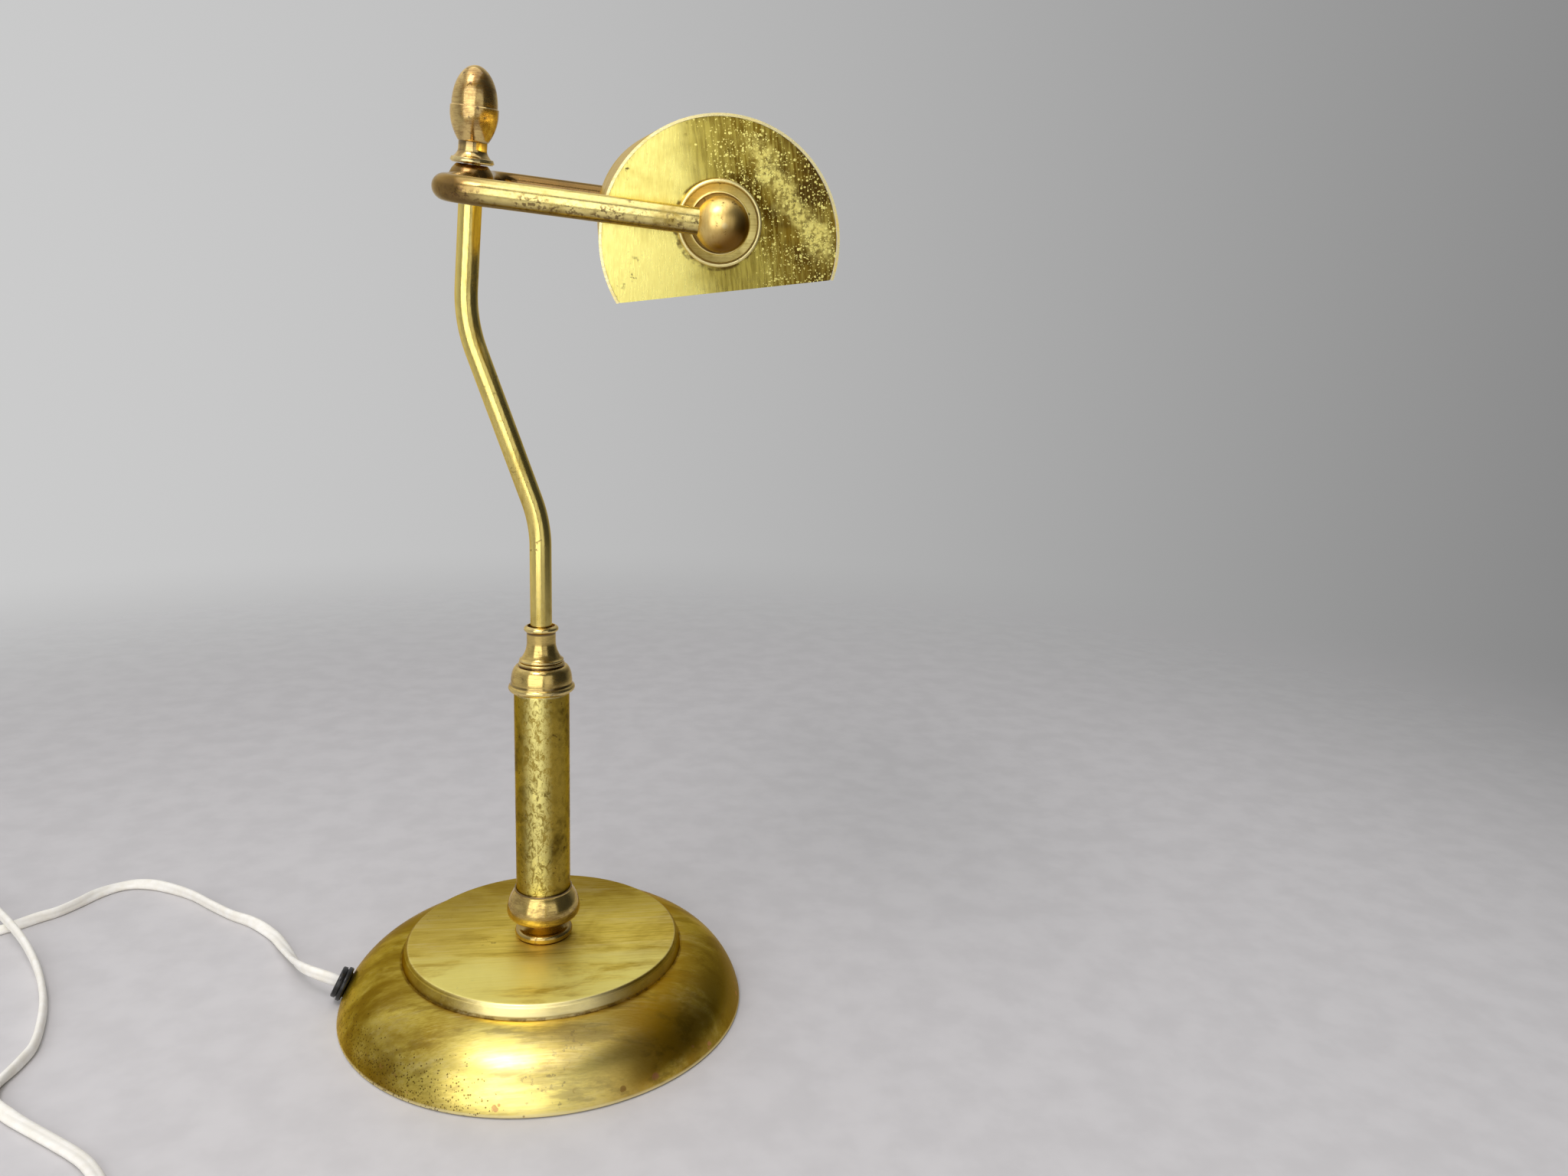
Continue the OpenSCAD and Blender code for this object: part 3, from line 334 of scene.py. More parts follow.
coil_exit = on_coil(SWEEP)
PLUG_AT = Vector((PLUG_X, coil_exit.y, PLUG_Z))
tail_start = PLUG_AT + Vector((CORD_W, 0, 0))
coil_steps = round(SWEEP / 360 * LOOP_STEPS)
coil_route = [(*on_coil(SWEEP * i / coil_steps), ON_EDGE) for i in range(1, coil_steps + 1)]
for i in range(1, TAIL_STEPS):
    t = i / TAIL_STEPS
    s = (1 - cos(pi * t)) / 2
    spot = coil_exit.lerp(Vector((tail_start.x, coil_exit.y, coil_exit.z)), t)
    roll = ON_EDGE + (FLAT - ON_EDGE) * s
    coil_route.append((spot.x, spot.y, coil_exit.z + (PLUG_AT.z - coil_exit.z) * s, roll))
coil_route += [(*tail_start, FLAT), (*PLUG_AT, FLAT)]
print("coil of", COIL_TURNS, "turns in", len(coil_route), "points")

# %% [markdown]
# From the bushing the cord dips to the table, wanders out of the picture and comes back past itself
# to the coil. Each point of the route is x, y and z in millimetres and a roll angle in degrees, and
# repeats a point of the CAD model.

# %% Route of the cord
EXIT_RUN, EXIT_ROLL, ROUTE_STEPS = 4, -90, 6
entry = on_coil(0)
entry_dir = Vector((cos(radians(ENTRY_TURN - 90)), sin(radians(ENTRY_TURN - 90)), 0))
lead_route = [(*cord_exit, EXIT_ROLL), (*(cord_exit + EXIT_RUN * cord_out), EXIT_ROLL)] + [
    (-109.8, 7, 14.6, -88), (-115.6, 11.8, 14.4, -82), (-120.6, 19.8, 12.2, -70), (-125.4, 30.6, 8.8, -52),
    (-130.6, 42.8, 5.8, -30), (-137, 56.4, 3.5, -8), (-144.1, 69.5, 2.4, 8), (-153, 80.2, 2.7, 40),
    (-162, 88.4, 3.1, 75), (-173.2, 96.3, 3.1, 90), (-186.8, 108.7, 3.1, 90), (-201.1, 122.6, 3.1, 90),
    (-214.4, 132.3, 3.1, 82), (-227.2, 139.5, 2.9, 60), (-238.7, 142.4, 2.5, 35), (-248.1, 139.5, 2.2, 25),
    (-255.4, 131, 2.7, 50), (-260.5, 120.5, 3.1, 82), (-267.5, 110.1, 3.1, 90), (-274.9, 104.3, 3, 75),
    (-282.2, 98.5, 2.5, 45), (-289.6, 93.3, 2, 20), (-304, 82, 1.8, 8), (-319, 77, 2, 15),
    (-335, 80, 2.3, 30), (-346, 91, 2.6, 45), (-348, 107, 2.9, 60), (-340, 121, 3.2, 75),
    (-325, 128, 4.2, 85), (-310, 123.5, 6.2, 90), (-292.5, 101.2, 7.8, 90), (-280.7, 86.8, 7.6, 90),
    (-269.5, 73.1, 5.6, 90), (-258.5, 57.1, 3.9, 90), (-247.7, 38.4, 3.1, 88), (-237.1, 15.9, 3.1, 85),
    (-229.9, -4.8, 3.1, 85), (-225.4, -23.9, 3.1, 90), (-226.2, -38, 3.1, 95), (-228.4, -51, 2.9, 115),
    (-225.6, -62.5, 2.5, 145), (-214.7, -72.7, 2.2, 165), (-206.1, -79.5, 1.9, 178),
    (-197.1, -86.4, 1.9, 180), (-187.9, -93.5, 1.9, 180), (-179.2, -100.5, 1.9, 182),
    (-171.1, -108.6, 2.1, 190), (-162.5, -121, 2.4, 205), (-154.5, -141, 3.2, 235),
] + [(*(entry - CORD_W * entry_dir), ON_EDGE), (*entry, ON_EDGE)]


def through(points, steps):
    """A smooth line through the points, each segment in `steps` parts."""
    p = [Vector(q) for q in points]
    line = []
    for i in range(len(p) - 1):
        a, b, c, d = p[max(0, i - 1)], p[i], p[i + 1], p[min(len(p) - 1, i + 2)]
        for k in range(steps):
            t = k / steps
            line.append(b + 0.5 * t * ((c - a) + t * (2 * a - 5 * b + 4 * c - d + t * (3 * (b - c) + d - a))))
    return line + [p[-1]]


cord_line = through(lead_route, ROUTE_STEPS) + [Vector(q) for q in coil_route]

# %% [markdown]
# A curve with a bevel would make a round cord. This one is flat and rolls over on its way, so a
# figure-of-eight section is carried along the route by hand, turned by the roll angle at each point.

# %% Mesh of the cord
SECTION_POINTS, WAIST, WAIST_W, FULLNESS = 28, 0.16, 1.1, 0.8


def cord_section():
    """Figure of eight, a little pinched where the two cores meet."""
    loop = []
    for k in range(SECTION_POINTS):
        t = 2 * pi * (k + 0.5) / SECTION_POINTS
        x = CORD_W / 2 * cos(t)
        pinch = 1 - WAIST * max(0, 1 - (x / WAIST_W) ** 2)
        loop.append((x, CORD_T / 2 * pinch * (1 if sin(t) > 0 else -1) * abs(sin(t)) ** FULLNESS))
    return loop


def cord_sections():
    shape = cord_section()
    out = []
    for i, q in enumerate(cord_line):
        if i == 0:
            along = cord_out
        elif i == len(cord_line) - 1:
            along = Vector((-1, 0, 0))
        else:
            along = (Vector(cord_line[i + 1][:3]) - Vector(cord_line[i - 1][:3])).normalized()
        side = along.cross(Vector((0, 0, 1))).normalized()
        up = side.cross(along)
        c, s = cos(radians(q[3])), sin(radians(q[3]))
        out.append([
            (Vector(q[:3]) + side * (x * c - y * s) + up * (x * s + y * c)) * MM for x, y in shape])
    return out


flex = add_piece("mains_flex", swept(cord_sections()), sharp=60)
print("cord mesh:", len(flex.data.polygons), "faces")

# %% [markdown]
# Finishes.
# Old lacquered brass is not one colour. Bright yellow metal shows where hands and cloths have rubbed,
# olive and brown tarnish gathers where they have not, fine polishing lines cross it, and dark specks
# sit where the lacquer has failed. A photograph could be wrapped round each piece, but it would hold
# one light and one view. Here each finish is a small shader tree on Object coordinates, so the pattern
# stays on the metal when a joint moves. Three small classes make such trees short to write.


# %% Shader helpers
def colour(r, g, b):
    """A colour as read from a picture, 0 to 255, made linear for a shader."""
    lin = [((v / 255 + 0.055) / 1.055) ** 2.4 if v > 10.3 else v / 255 / 12.92 for v in (r, g, b)]
    return (*lin, 1)


class Value:
    """A number or vector that a shader works out at each point. Sums of it are written as sums."""

    def __init__(self, wires, socket):
        self.wires, self.socket = wires, socket

    def __add__(self, other):
        return self.wires.math("ADD", self, other)

    def __sub__(self, other):
        return self.wires.math("SUBTRACT", self, other)

    def __rsub__(self, other):
        return self.wires.math("SUBTRACT", other, self)

    def __mul__(self, other):
        return self.wires.math("MULTIPLY", self, other)

    def __abs__(self):
        return self.wires.math("ABSOLUTE", self)


class Wires:
    """Short calls that add nodes to a shader tree and join them."""

    def __init__(self, tree):
        self.tree = tree

    def plug(self, value, socket):
        """Links a value, or sets a constant. A colour is given as it is read from a picture."""
        if isinstance(value, Value):
            self.tree.links.new(value.socket, socket)
        else:
            socket.default_value = colour(*value) if socket.type == "RGBA" else value

    def set(self, node, **sockets):
        for key, value in sockets.items():
            self.plug(value, node.inputs[key.replace("_", " ")])

    def node(self, kind, *values, **attributes):
        """A new node with these values in its first sockets."""
        made = self.tree.nodes.new("ShaderNode" + kind)
        for key, value in attributes.items():
            setattr(made, key, value)
        for value, socket in zip(values, made.inputs):
            self.plug(value, socket)
        return made

    def value(self, node, output=0):
        return Value(self, node.outputs[output])

    def math(self, how, *values):
        return self.value(self.node("Math", *values, operation=how))

    def far(self, a, b):
        """How far a point at (a, b) is from the middle."""
        return self.math("SQRT", a * a + b * b)

    def split(self, vector):
        made = self.node("SeparateXYZ", vector)
        return [self.value(made, axis) for axis in range(3)]

    def band(self, value, low, high, to_low=0.0, to_high=1.0, curve="SMOOTHSTEP"):
        """Maps a value from one range to another, held at its ends."""
        return self.value(self.node("MapRange", value, low, high, to_low, to_high, interpolation_type=curve))

    def mix(self, amount, a, b):
        made = self.node("Mix", data_type="RGBA")
        for index, value in ((0, amount), (6, a), (7, b)):
            self.plug(value, made.inputs[index])
        return self.value(made, 2)


class Finish(Wires):
    """A material with one Principled shader, and the patterns that feed it."""

    def __init__(self, name, metal, rough, **sockets):
        finishes[name] = bpy.data.materials.new(name)
        finishes[name].use_nodes = True
        super().__init__(finishes[name].node_tree)
        self.shader = self.tree.nodes["Principled BSDF"]
        self.shade(Metallic=metal, Roughness=rough, **sockets)
        self.object = self.value(self.node("TexCoord"), "Object")

    def shade(self, **sockets):
        self.set(self.shader, **sockets)

    def start(self, tone):
        self.tone = tone
        self.shade(Base_Color=tone)

    def lay(self, tone, mask, *others):
        """Lays a tone over the colour so far, where all the masks are high."""
        for other in others:
            mask = mask * other
        self.start(self.mix(mask, self.tone, tone))

    def spread(self, scale, source=None):
        """Object coordinates, stretched per axis."""
        return self.value(self.node("Mapping", source or self.object, (0, 0, 0), (0, 0, 0), scale))

    def inside(self, place, unit=1.0):
        """Object coordinates as seen from a placed frame."""
        back = place.inverted()
        moved, turn = back.translation / unit, back.to_euler()
        return self.value(self.node("Mapping", self.object, moved, turn, [1 / unit] * 3))

    def places(self, place=Matrix()):
        """x, y and z in millimetres, as seen from a placed frame."""
        return self.split(self.inside(place, MM))

    def noise(self, scale, detail=4, rough=0.55, warp=0, where=None):
        made = self.node("TexNoise")
        self.set(made, Vector=where or self.object, Scale=scale)
        self.set(made, Detail=detail, Roughness=rough, Distortion=warp)
        return self.value(made, "Fac")

    def dots(self, scale, share, size):
        """Round spots of mixed sizes on that share of the cells of a scattered grid."""
        grid = self.node("TexVoronoi")
        self.set(grid, Vector=self.object, Scale=scale)
        chance, large, _ = self.split(self.value(grid, "Color"))
        within = large * size - self.value(grid, "Distance")
        return self.band(within, 0.0, 0.06) * self.math("LESS_THAN", chance, share)

    def bump(self, height, strength, distance=0.0003):
        made = self.node("Bump")
        self.set(made, Height=height, Strength=strength, Distance=distance)
        self.shade(Normal=self.value(made, "Normal"))


# %% [markdown]
# Brass.
# All the brass shares one recipe: broad blotches mix bright metal with olive tarnish, stretched noise
# draws the polishing lines, and a fine noise with a hard threshold sets the dark specks. The wear of a
# turned mesh makes its edges pale and its grooves dark, and a thin clear coat stands for the lacquer.
# What differs from piece to piece is how much of each there is, and which way the lines run.

# %% Brass recipe
GOLD = (240, 212, 108)
PALE = (250, 236, 176)
OLIVE = (168, 140, 46)
UMBER = (78, 52, 16)
WARM_SHEEN = (255, 226, 150)


def brass(name, bright=GOLD, dull=OLIVE, dirt=UMBER, rough=0.26, blotch=18, dullness=0.5,
          lines=(1, 1, 30), specks=0.25, speck_size=420, lacquer=0.5, edges=0.6):
    """A finish with the shared layers laid. It keeps its 0 to 1 tarnish for further ones."""
    f = Finish(name, 1.0, rough, Coat_Weight=lacquer, Coat_Roughness=0.12, Specular_Tint=WARM_SHEEN)
    strokes = f.noise(60, 3, 0.5, where=f.spread(lines))
    clean = 0.62 - dullness * 0.4
    blotches = f.band(f.noise(blotch, 5, 0.6, 0.4), clean, clean + 0.24)
    f.tarnish = blotches * f.band(strokes, 0.25, 0.7, 0.55, 1.0)
    f.start(f.mix(f.tarnish, bright, dull))
    f.lay(dull, f.band(strokes, 0.42, 0.72, 0.0, 0.3))
    grain = f.noise(speck_size, 3, 0.6)
    where = f.band(f.noise(blotch * 2.3, 3, 0.5), 0.62 - specks * 0.4, 0.72 - specks * 0.2)
    spots = f.band(grain, 0.58, 0.66) * where
    f.lay(dirt, spots, 0.85)
    worn = f.value(f.node("Attribute", attribute_name="wear"), "Fac")
    f.lay(PALE, f.band(worn, 0.3, 1.0, 0.0, edges))
    f.lay(dirt, f.band(worn, -0.15, -0.8, 0.0, 0.9))
    dulled = f.band(f.tarnish, 0, 1, rough - 0.06, rough + 0.1)
    f.shade(Roughness=dulled + f.band(strokes, 0.3, 0.75, 0.0, 0.08) + spots * 0.2)
    f.bump(f.mix(0.5, strokes, grain), 0.08)
    return f


TURNED = dict(bright=(224, 194, 110), dull=(124, 94, 30), rough=0.21, blotch=70,
              lines=(4, 4, 40), specks=0.35, lacquer=0.8, edges=0.25)
brass("turned_brass", **TURNED)
brass("finial_brass", bright=(228, 196, 120), dull=(138, 100, 40), rough=0.19, blotch=90,
      lines=(4, 4, 40), specks=0.35, lacquer=1.0, edges=0.4)
brass("tube_brass", bright=(246, 222, 130), rough=0.22, blotch=30, dullness=0.4,
      lines=(30, 30, 2), specks=0.2, lacquer=0.3)
brass("boss_brass", bright=(252, 236, 152), dull=(200, 178, 90), rough=0.38, blotch=90,
      specks=0.3, lacquer=0.1)
brass("sheet_brass", rough=0.3, blotch=14, dullness=0.4, lines=(26, 26, 3), specks=0.3, lacquer=0.1)
brass("edge_brass", bright=PALE, dull=GOLD, rough=0.3, blotch=60, dullness=0.3, specks=0.1)
print("plain brass:", *finishes)

# %% [markdown]
# The base's marks and its painted light.
# The base has aged unevenly, and its marks belong to places on it. So each mark is a mask, made from
# the place in millimetres and some noise, with a tone laid where the mask is high. The first masks
# tell the disc from the dome. Straight polishing strokes cross both from side to side. The dome's
# sides are olive brown, partly tarnish and partly painted shade, and its front has a painted highlight.

# %% Brass of the base
f = brass("base_brass", bright=(246, 224, 108), dull=(178, 148, 40), dirt=(110, 84, 24),
          rough=0.36, blotch=16, lines=(2, 26, 26), specks=0.08, lacquer=0.1)
x, y, z = f.places()
out_r = f.far(x, y)
on_disc = f.band(z, BASE_H - 0.4, BASE_H - 0.1) * f.band(out_r, DISC_R - 0.3, DISC_R - 1.3)
off_disc = 1 - on_disc
off_middle = abs(x)

fine = f.noise(24, 4, 0.65, where=f.spread((0.8, 30, 30)))
wide = f.noise(14, 5, 0.6, 0.4, f.spread((1.6, 4.5, 4.5)))
strokes = fine * 0.5 + wide * 0.5
keen = f.band(on_disc, 0, 1, 0.75, 1.0)
f.lay((146, 118, 28), f.band(strokes, 0.48, 0.66, 0.0, 0.45), keen)
f.lay(PALE, f.band(strokes, 0.52, 0.36, 0.0, 0.45), keen)

cloud = f.noise(26, 4, 0.6, 0.5, f.spread((0.6, 1.4, 1.4)))
# Painted shade on the dome's left and right sides, laid over olive tarnish.
side = f.math("MAXIMUM", f.band(x, -15, -75), f.band(x, 5, 55))
left_tone = (126, 96, 6)
right_tone = f.mix(f.band(x, 45, 85), (180, 134, 10), (138, 112, 36))
aged_and_shaded = side * f.band(cloud, 0.35, 0.6, 0.5, 0.95) * off_disc
f.lay(f.mix(f.band(x, -30, 30), left_tone, right_tone), aged_and_shaded)
stain = f.band(f.noise(70, 5, 0.65, 0.15, f.spread((0.35, 1.8, 1.8))), 0.5, 0.64, 0.0, 0.55)
f.lay((128, 100, 22), stain, off_disc)
# Painted highlight: a pale patch on the front of the dome.
f.lay(PALE, f.band(y, -45, -85), f.band(off_middle, 60, 15), 0.25)
print("base finish:", len(f.tree.nodes), "nodes")

# %% [markdown]
# The disc's edge has a painted highlight at the front and is darker elsewhere, and the rim that meets
# the table is rubbed pale. On the disc itself the left is greyer, the near part has a painted highlight
# and the far part painted shade. Sand-like specks lie low on the left front, red spots show where the
# lacquer has lifted along the rim, and a broken line of old polish runs round the disc's foot.

# %% Disc, rim and spots of the base
near_foot = f.band(out_r, disc_foot.x + 1, disc_foot.x) * f.band(z, disc_foot.y + 1, disc_foot.y + 1.6)
on_edge = near_foot - on_disc
# Painted highlight on the front of the disc's edge, which is darker elsewhere.
rubbed_and_highlit = f.band(y, -20, -55) * f.band(off_middle, 45, 20)
f.lay(f.mix(rubbed_and_highlit, (150, 122, 36), PALE), on_edge, 0.6)
f.lay(PALE, f.band(z, 2.4, 1.2), 0.8)

f.lay((170, 146, 76), on_disc, f.band(x, -10, -50), 0.4)
# Painted highlight on the near part of the disc.
f.lay((255, 246, 150), on_disc, f.band(y, -5, -40), f.band(wide, 0.66, 0.44), 0.75)
# Painted shade on the far part of the disc.
f.lay((140, 114, 36), on_disc, f.band(y + cloud * 30, 0, 60), 0.55)

low_left = f.band(z, 22, 6) * f.band(x, -12, -45)
f.lay(UMBER, f.dots(1200, low_left * 0.75, 0.62), 0.75)
rose_or_bronze = f.mix(f.band(f.noise(60), 0.5, 0.6), (196, 132, 92), (138, 98, 44))
lifted = f.band(f.noise(420, 3), 0.4, 0.52)
f.lay(rose_or_bronze, f.dots(170, 0.8, 0.36), f.band(z, 12, 6), lifted, 0.7)
off_foot = f.far(out_r - disc_foot.x, z - disc_foot.y)
f.lay(UMBER, f.band(off_foot, 1.3, 0.4), f.band(f.noise(260, 3), 0.42, 0.6), 0.6)
f.shade(Roughness=f.band(f.tarnish, 0, 1, 0.32, 0.42) + on_disc * 0.2)
print("base finish with its spots:", len(f.tree.nodes), "nodes")

# %% [markdown]
# The column.
# The column is where the lamp is gripped and lifted. Its tube has gone a deep olive, and a stripe down the
# front is a painted highlight of yellow metal, in ragged patches that break up the light. The foot is turned
# brass like the cap, but its neck and lower bead, close to the disc, are made darker, and a dark line marks
# the joint with the tube.

# %% Brass of the column
FOOT_H = 25.5
f = brass("column_brass", bright=(168, 142, 52), dull=(104, 84, 20), rough=0.3, blotch=60,
          lines=(6, 6, 6), specks=0.4, speck_size=700, lacquer=0.1)
x, y, _ = f.places()
# Painted highlight: bright patches in a stripe down the front of the tube.
highlight_stripe = f.band(abs(x + 2), 8, 0.5) * f.band(y, 0, -6)
patches = f.noise(480, 6, 0.7, 0.9, f.spread((1, 1, 0.6)))
f.lay((255, 242, 150), highlight_stripe, f.band(patches, 0.4, 0.56, 0.12, 1.0))

f = brass("foot_brass", **TURNED)
z = f.places()[2]
# Darker towards the bottom of the foot, over its neck and lower bead.
f.lay((136, 106, 34), f.band(z, BASE_H + 14, BASE_H + 8, 0.0, 0.6))
f.lay(UMBER, f.band(z, BASE_H + FOOT_H - 1, BASE_H + FOOT_H - 0.3, 0.0, 0.85))
print("column finishes: column_brass, foot_brass")

# %% [markdown]
# The other finishes.
# White cord sheath, black rubber, felt, iron, plated steel, porcelain, glass and moulded plastic are
# plainer. One recipe gives each of them a grain or a smear at the right scale: two near tones, a
# roughness and a bump from the same noise. A table holds what differs.

# %% Other finishes
ROUGH_SPREAD = 0.12


def mottled(name, light, dark, metal, rough, scale, bump, **sockets):
    """Two near tones of one colour, mixed by noise, with roughness and bump from the same noise."""
    f = Finish(name, metal, rough, **sockets)
    grain = f.noise(scale, 4, 0.6)
    f.start(f.mix(f.band(grain, 0.3, 0.7), dark, light))
    f.shade(Roughness=f.band(grain, 0.3, 0.7, rough + ROUGH_SPREAD / 2, rough - ROUGH_SPREAD / 2))
    f.bump(grain, bump)


# Light tone, dark tone, metal, roughness, grains in a metre, bump
PLAIN_FINISHES = {
    "sheath_white": ((253, 251, 244), (244, 240, 228), 0, 0.42, 160, 0.05),
    "rubber_black": ((26, 25, 24), (16, 15, 14), 0, 0.28, 300, 0.06),
    "felt_green": ((52, 84, 56), (32, 58, 38), 0, 0.95, 900, 0.6),
    "iron_grey": ((92, 90, 88), (62, 60, 59), 0.9, 0.62, 240, 0.5),
    "plated_steel": ((206, 205, 200), (176, 174, 168), 1, 0.3, 200, 0.08),
    "fibre_brown": ((112, 74, 44), (84, 52, 30), 0, 0.7, 700, 0.3),
    "porcelain": ((238, 236, 228), (228, 224, 212), 0, 0.18, 60, 0.02),
    "plug_white": ((240, 239, 232), (228, 226, 216), 0, 0.35, 140, 0.04),
    "key_black": ((30, 28, 27), (20, 19, 18), 0, 0.25, 180, 0.05),
    "pin_metal": ((222, 214, 190), (200, 190, 160), 1, 0.22, 160, 0.05),
    "enamel_white": ((240, 238, 230), (228, 224, 212), 0, 0.4, 50, 0.04),
    "bulb_metal": ((214, 213, 210), (186, 184, 180), 1, 0.28, 220, 0.06),
}
for name, recipe in PLAIN_FINISHES.items():
    mottled(name, *recipe)
mottled("glass_frost", (250, 248, 240), (240, 238, 228), 0, 0.35, 90, 0.02,
        Transmission_Weight=0.35, IOR=1.45)
print("other finishes:", len(PLAIN_FINISHES) + 1)

# %% [markdown]
# Tie and plug.
# A thin strap holds the coil's turns together, and the cord ends in a flat moulded plug with two round
# pins. A cube with a Bevel would do for a plug at a distance. This one is lofted through rounded
# rectangles instead, because its body narrows to a sleeve round the cord.

# %% Tie
TIE_TURN, TIE_W, TIE_T = radians(130), 5.0, 0.6
TIE_PLAY, TIE_LIFT, TIE_ROUND = 0.5, 0.2, 1.7


def tie_shape():
    """A thin strap bent round the turns of the coil, with rounded corners."""
    in_x = coil_inner - CORD_T / 2 - TIE_PLAY
    out_x = coil_radius(0) + CORD_T / 2 + TIE_PLAY
    low = COIL_Z - CORD_W / 2 - TIE_LIFT
    high = COIL_Z + COIL_LAYER + CORD_W / 2 + TIE_LIFT

    def box(g):
        return [(in_x - g, low - g), (out_x + g, low - g), (out_x + g, high + g), (in_x - g, high + g)]

    outer, inner = soften(box(TIE_T), TIE_ROUND + 0.5), soften(box(0), TIE_ROUND)
    place = shift(COIL_C.x, COIL_C.y, 0) @ spin(TIE_TURN, "Z")
    verts, faces, n = [], [], len(outer)
    for y in (-TIE_W / 2, TIE_W / 2):
        for loop in (outer, inner):
            verts += placed(place, [(x, y, z) for x, z in loop])
    a, b, c, d = 0, n, 2 * n, 3 * n
    for k in range(n):
        j = (k + 1) % n
        faces += [[a + k, a + j, b + j, b + k], [c + k, d + k, d + j, c + j]]
        faces += [[a + k, c + k, c + j, a + j], [b + k, b + j, d + j, d + k]]
    return verts, faces


flex_tie = make("flex_tie", tie_shape(), "base", "white_plastic", "plug_white", "coil_tie")

# %% Plug
SLEEVE_LEN, PLUG_LEN, PLUG_W, PLUG_T, PLUG_BACK, PLUG_TAPER = 22.0, 35.0, 33.0, 13.6, 16.0, 16.0
PLUG_ROUND, FACE_ROUND, TAPER_STEPS = 4.6, 1.2, 6
PIN_D, PIN_LEN, PIN_GAP, PIN_SEAT, PIN_ROUND = 4.0, 19.0, 18.6, 6.0, 1.4
at_plug = shift(*PLUG_AT) @ spin(pi, "Z")
plug_end = SLEEVE_LEN + PLUG_LEN


def plug_section(x, w, t, r):
    """A rectangle of width w and thickness t with corners of radius r, at x along the plug."""
    loop = soften([(-w / 2, -t / 2), (w / 2, -t / 2), (w / 2, t / 2), (-w / 2, t / 2)], r)
    return placed(at_plug, [(x, y, z) for y, z in loop])


def plug_shape():
    """Rounded rectangles from the sleeve's end, through the swelling back, to the pin face."""
    rows = [(0, 8.8, 8.4, 4.1), (SLEEVE_LEN - 2, 11.6, 11.2, 5.2), (SLEEVE_LEN + 2, PLUG_BACK - 2, 12.4, 5.0)]
    for k in range(2, TAPER_STEPS + 1):
        width = PLUG_BACK + (PLUG_W - PLUG_BACK) * sin(k * pi / (2 * TAPER_STEPS))
        rows.append((SLEEVE_LEN + PLUG_TAPER * k / TAPER_STEPS, width, PLUG_T, PLUG_ROUND))
    rows.append((plug_end - FACE_ROUND, PLUG_W, PLUG_T, PLUG_ROUND))
    rows.append((plug_end, PLUG_W - 2 * FACE_ROUND, PLUG_T - 2 * FACE_ROUND, PLUG_ROUND - 1))
    return swept([plug_section(*row) for row in rows])


def pins_shape():
    verts, faces = [], []
    r, h = PIN_D / 2, PIN_SEAT + PIN_LEN
    loop = [(0, 0), (r, 0), (r, h - PIN_ROUND)] + crown((r, h - PIN_ROUND), (0, h), 8)
    for side in (-1, 1):
        seat = shift(plug_end - PIN_SEAT, side * PIN_GAP / 2, 0)
        v, fs, _ = turned(loop, at_plug @ seat @ spin(pi / 2, "Y"), 32)
        faces += [[i + len(verts) for i in face] for face in fs]
        verts += v
    return verts, faces


plug_piece = make("plug_moulding", plug_shape(), "base", "white_plastic", "plug_white", "plug_body", sharp=40)
pins = make("plug_prongs", pins_shape(), "base", "pin_metal", "pin_metal", "plug_pins")

# %% [markdown]
# The cord takes its sheath, rides on the base and stands for its two CAD solids. It is fitted now that
# its tie and its plug exist, because they go with it.

fit(flex, "base", "white_pvc", "sheath_white", "cord_lead", "cord_coil")

# %% [markdown]
# The base.
# The base is one sheet of brass, spun over a former: a steep rim, a round dome and a raised disc with
# a small flare at its foot. The outline is the CAD one with many more points, so that the highlight
# runs smoothly over the dome.

# %% Spun base
SHELL_T, DISC_ROUND, ROD_D, ROD_FIT = 1.2, 1.6, 10.0, 0.02
DOME_STEPS, LINING_STEPS, DISC_RINGS = 44, 22, (58, 48, 38, 28, 18)
rod_bore = ROD_D / 2 + ROD_FIT
dome_from = atan2(rim_point.y - dome_c.y, rim_point.x - dome_c.x)
dome_to = atan2(disc_foot.y - dome_c.y, disc_foot.x - dome_c.x)


def dome(r, n):
    turns = [dome_from + (dome_to - dome_from) * i / n for i in range(n + 1)]
    return [(dome_c.x + r * cos(t), dome_c.y + r * sin(t)) for t in turns]


def base_loop():
    edge = [(DISC_R + 0.5, BASE_H - DISC_ROUND)]
    top = arc((DISC_R - DISC_ROUND, BASE_H - DISC_ROUND), DISC_ROUND, 12, 90, 8)
    face = [(r, BASE_H) for r in (*DISC_RINGS, rod_bore)]
    under = [(rod_bore, BASE_H - SHELL_T), (DISC_R - SHELL_T - 1, BASE_H - SHELL_T)]
    under += [(DISC_R - SHELL_T, BASE_H - DISC_STEP - 0.4)]
    lining = dome(DOME_R - SHELL_T, LINING_STEPS)[::-1][1:]
    return soften(dome(DOME_R, DOME_STEPS) + edge + top + face + under + lining, 0.25, 25)


spun = turned(base_loop(), sides=160)
make("spun_base", spun, "base", "lacquered_brass", "base_brass", "base_shell", sharp=40)

# %% [markdown]
# The column.
# A turned foot, a plain tube and a turned cap stand on the disc, pulled together by a hidden rod.
# Each is an outline carried round the z axis, with its beads as arcs and its necks as tapers.

# %% Foot, tube and cap
COLUMN_D, COLUMN_T, COLUMN_TOP, FOOT_SOCKET, SOCKET_FIT = 26.0, 1.2, 159.8, 3.0, 0.02
FOOT_CUP_D, FOOT_BEAD_D, FOOT_BEAD_H, BORE_FIT = 35.4, 28.0, 4.8, 0.05
CAP_D, CAP_H, CAP_BEAD_H, CAP_LIP_D, CAP_LIP_H, CAP_RING_R, STEM_D = 31.2, 31.5, 3.4, 16.1, 3.0, 0.7, 10.0


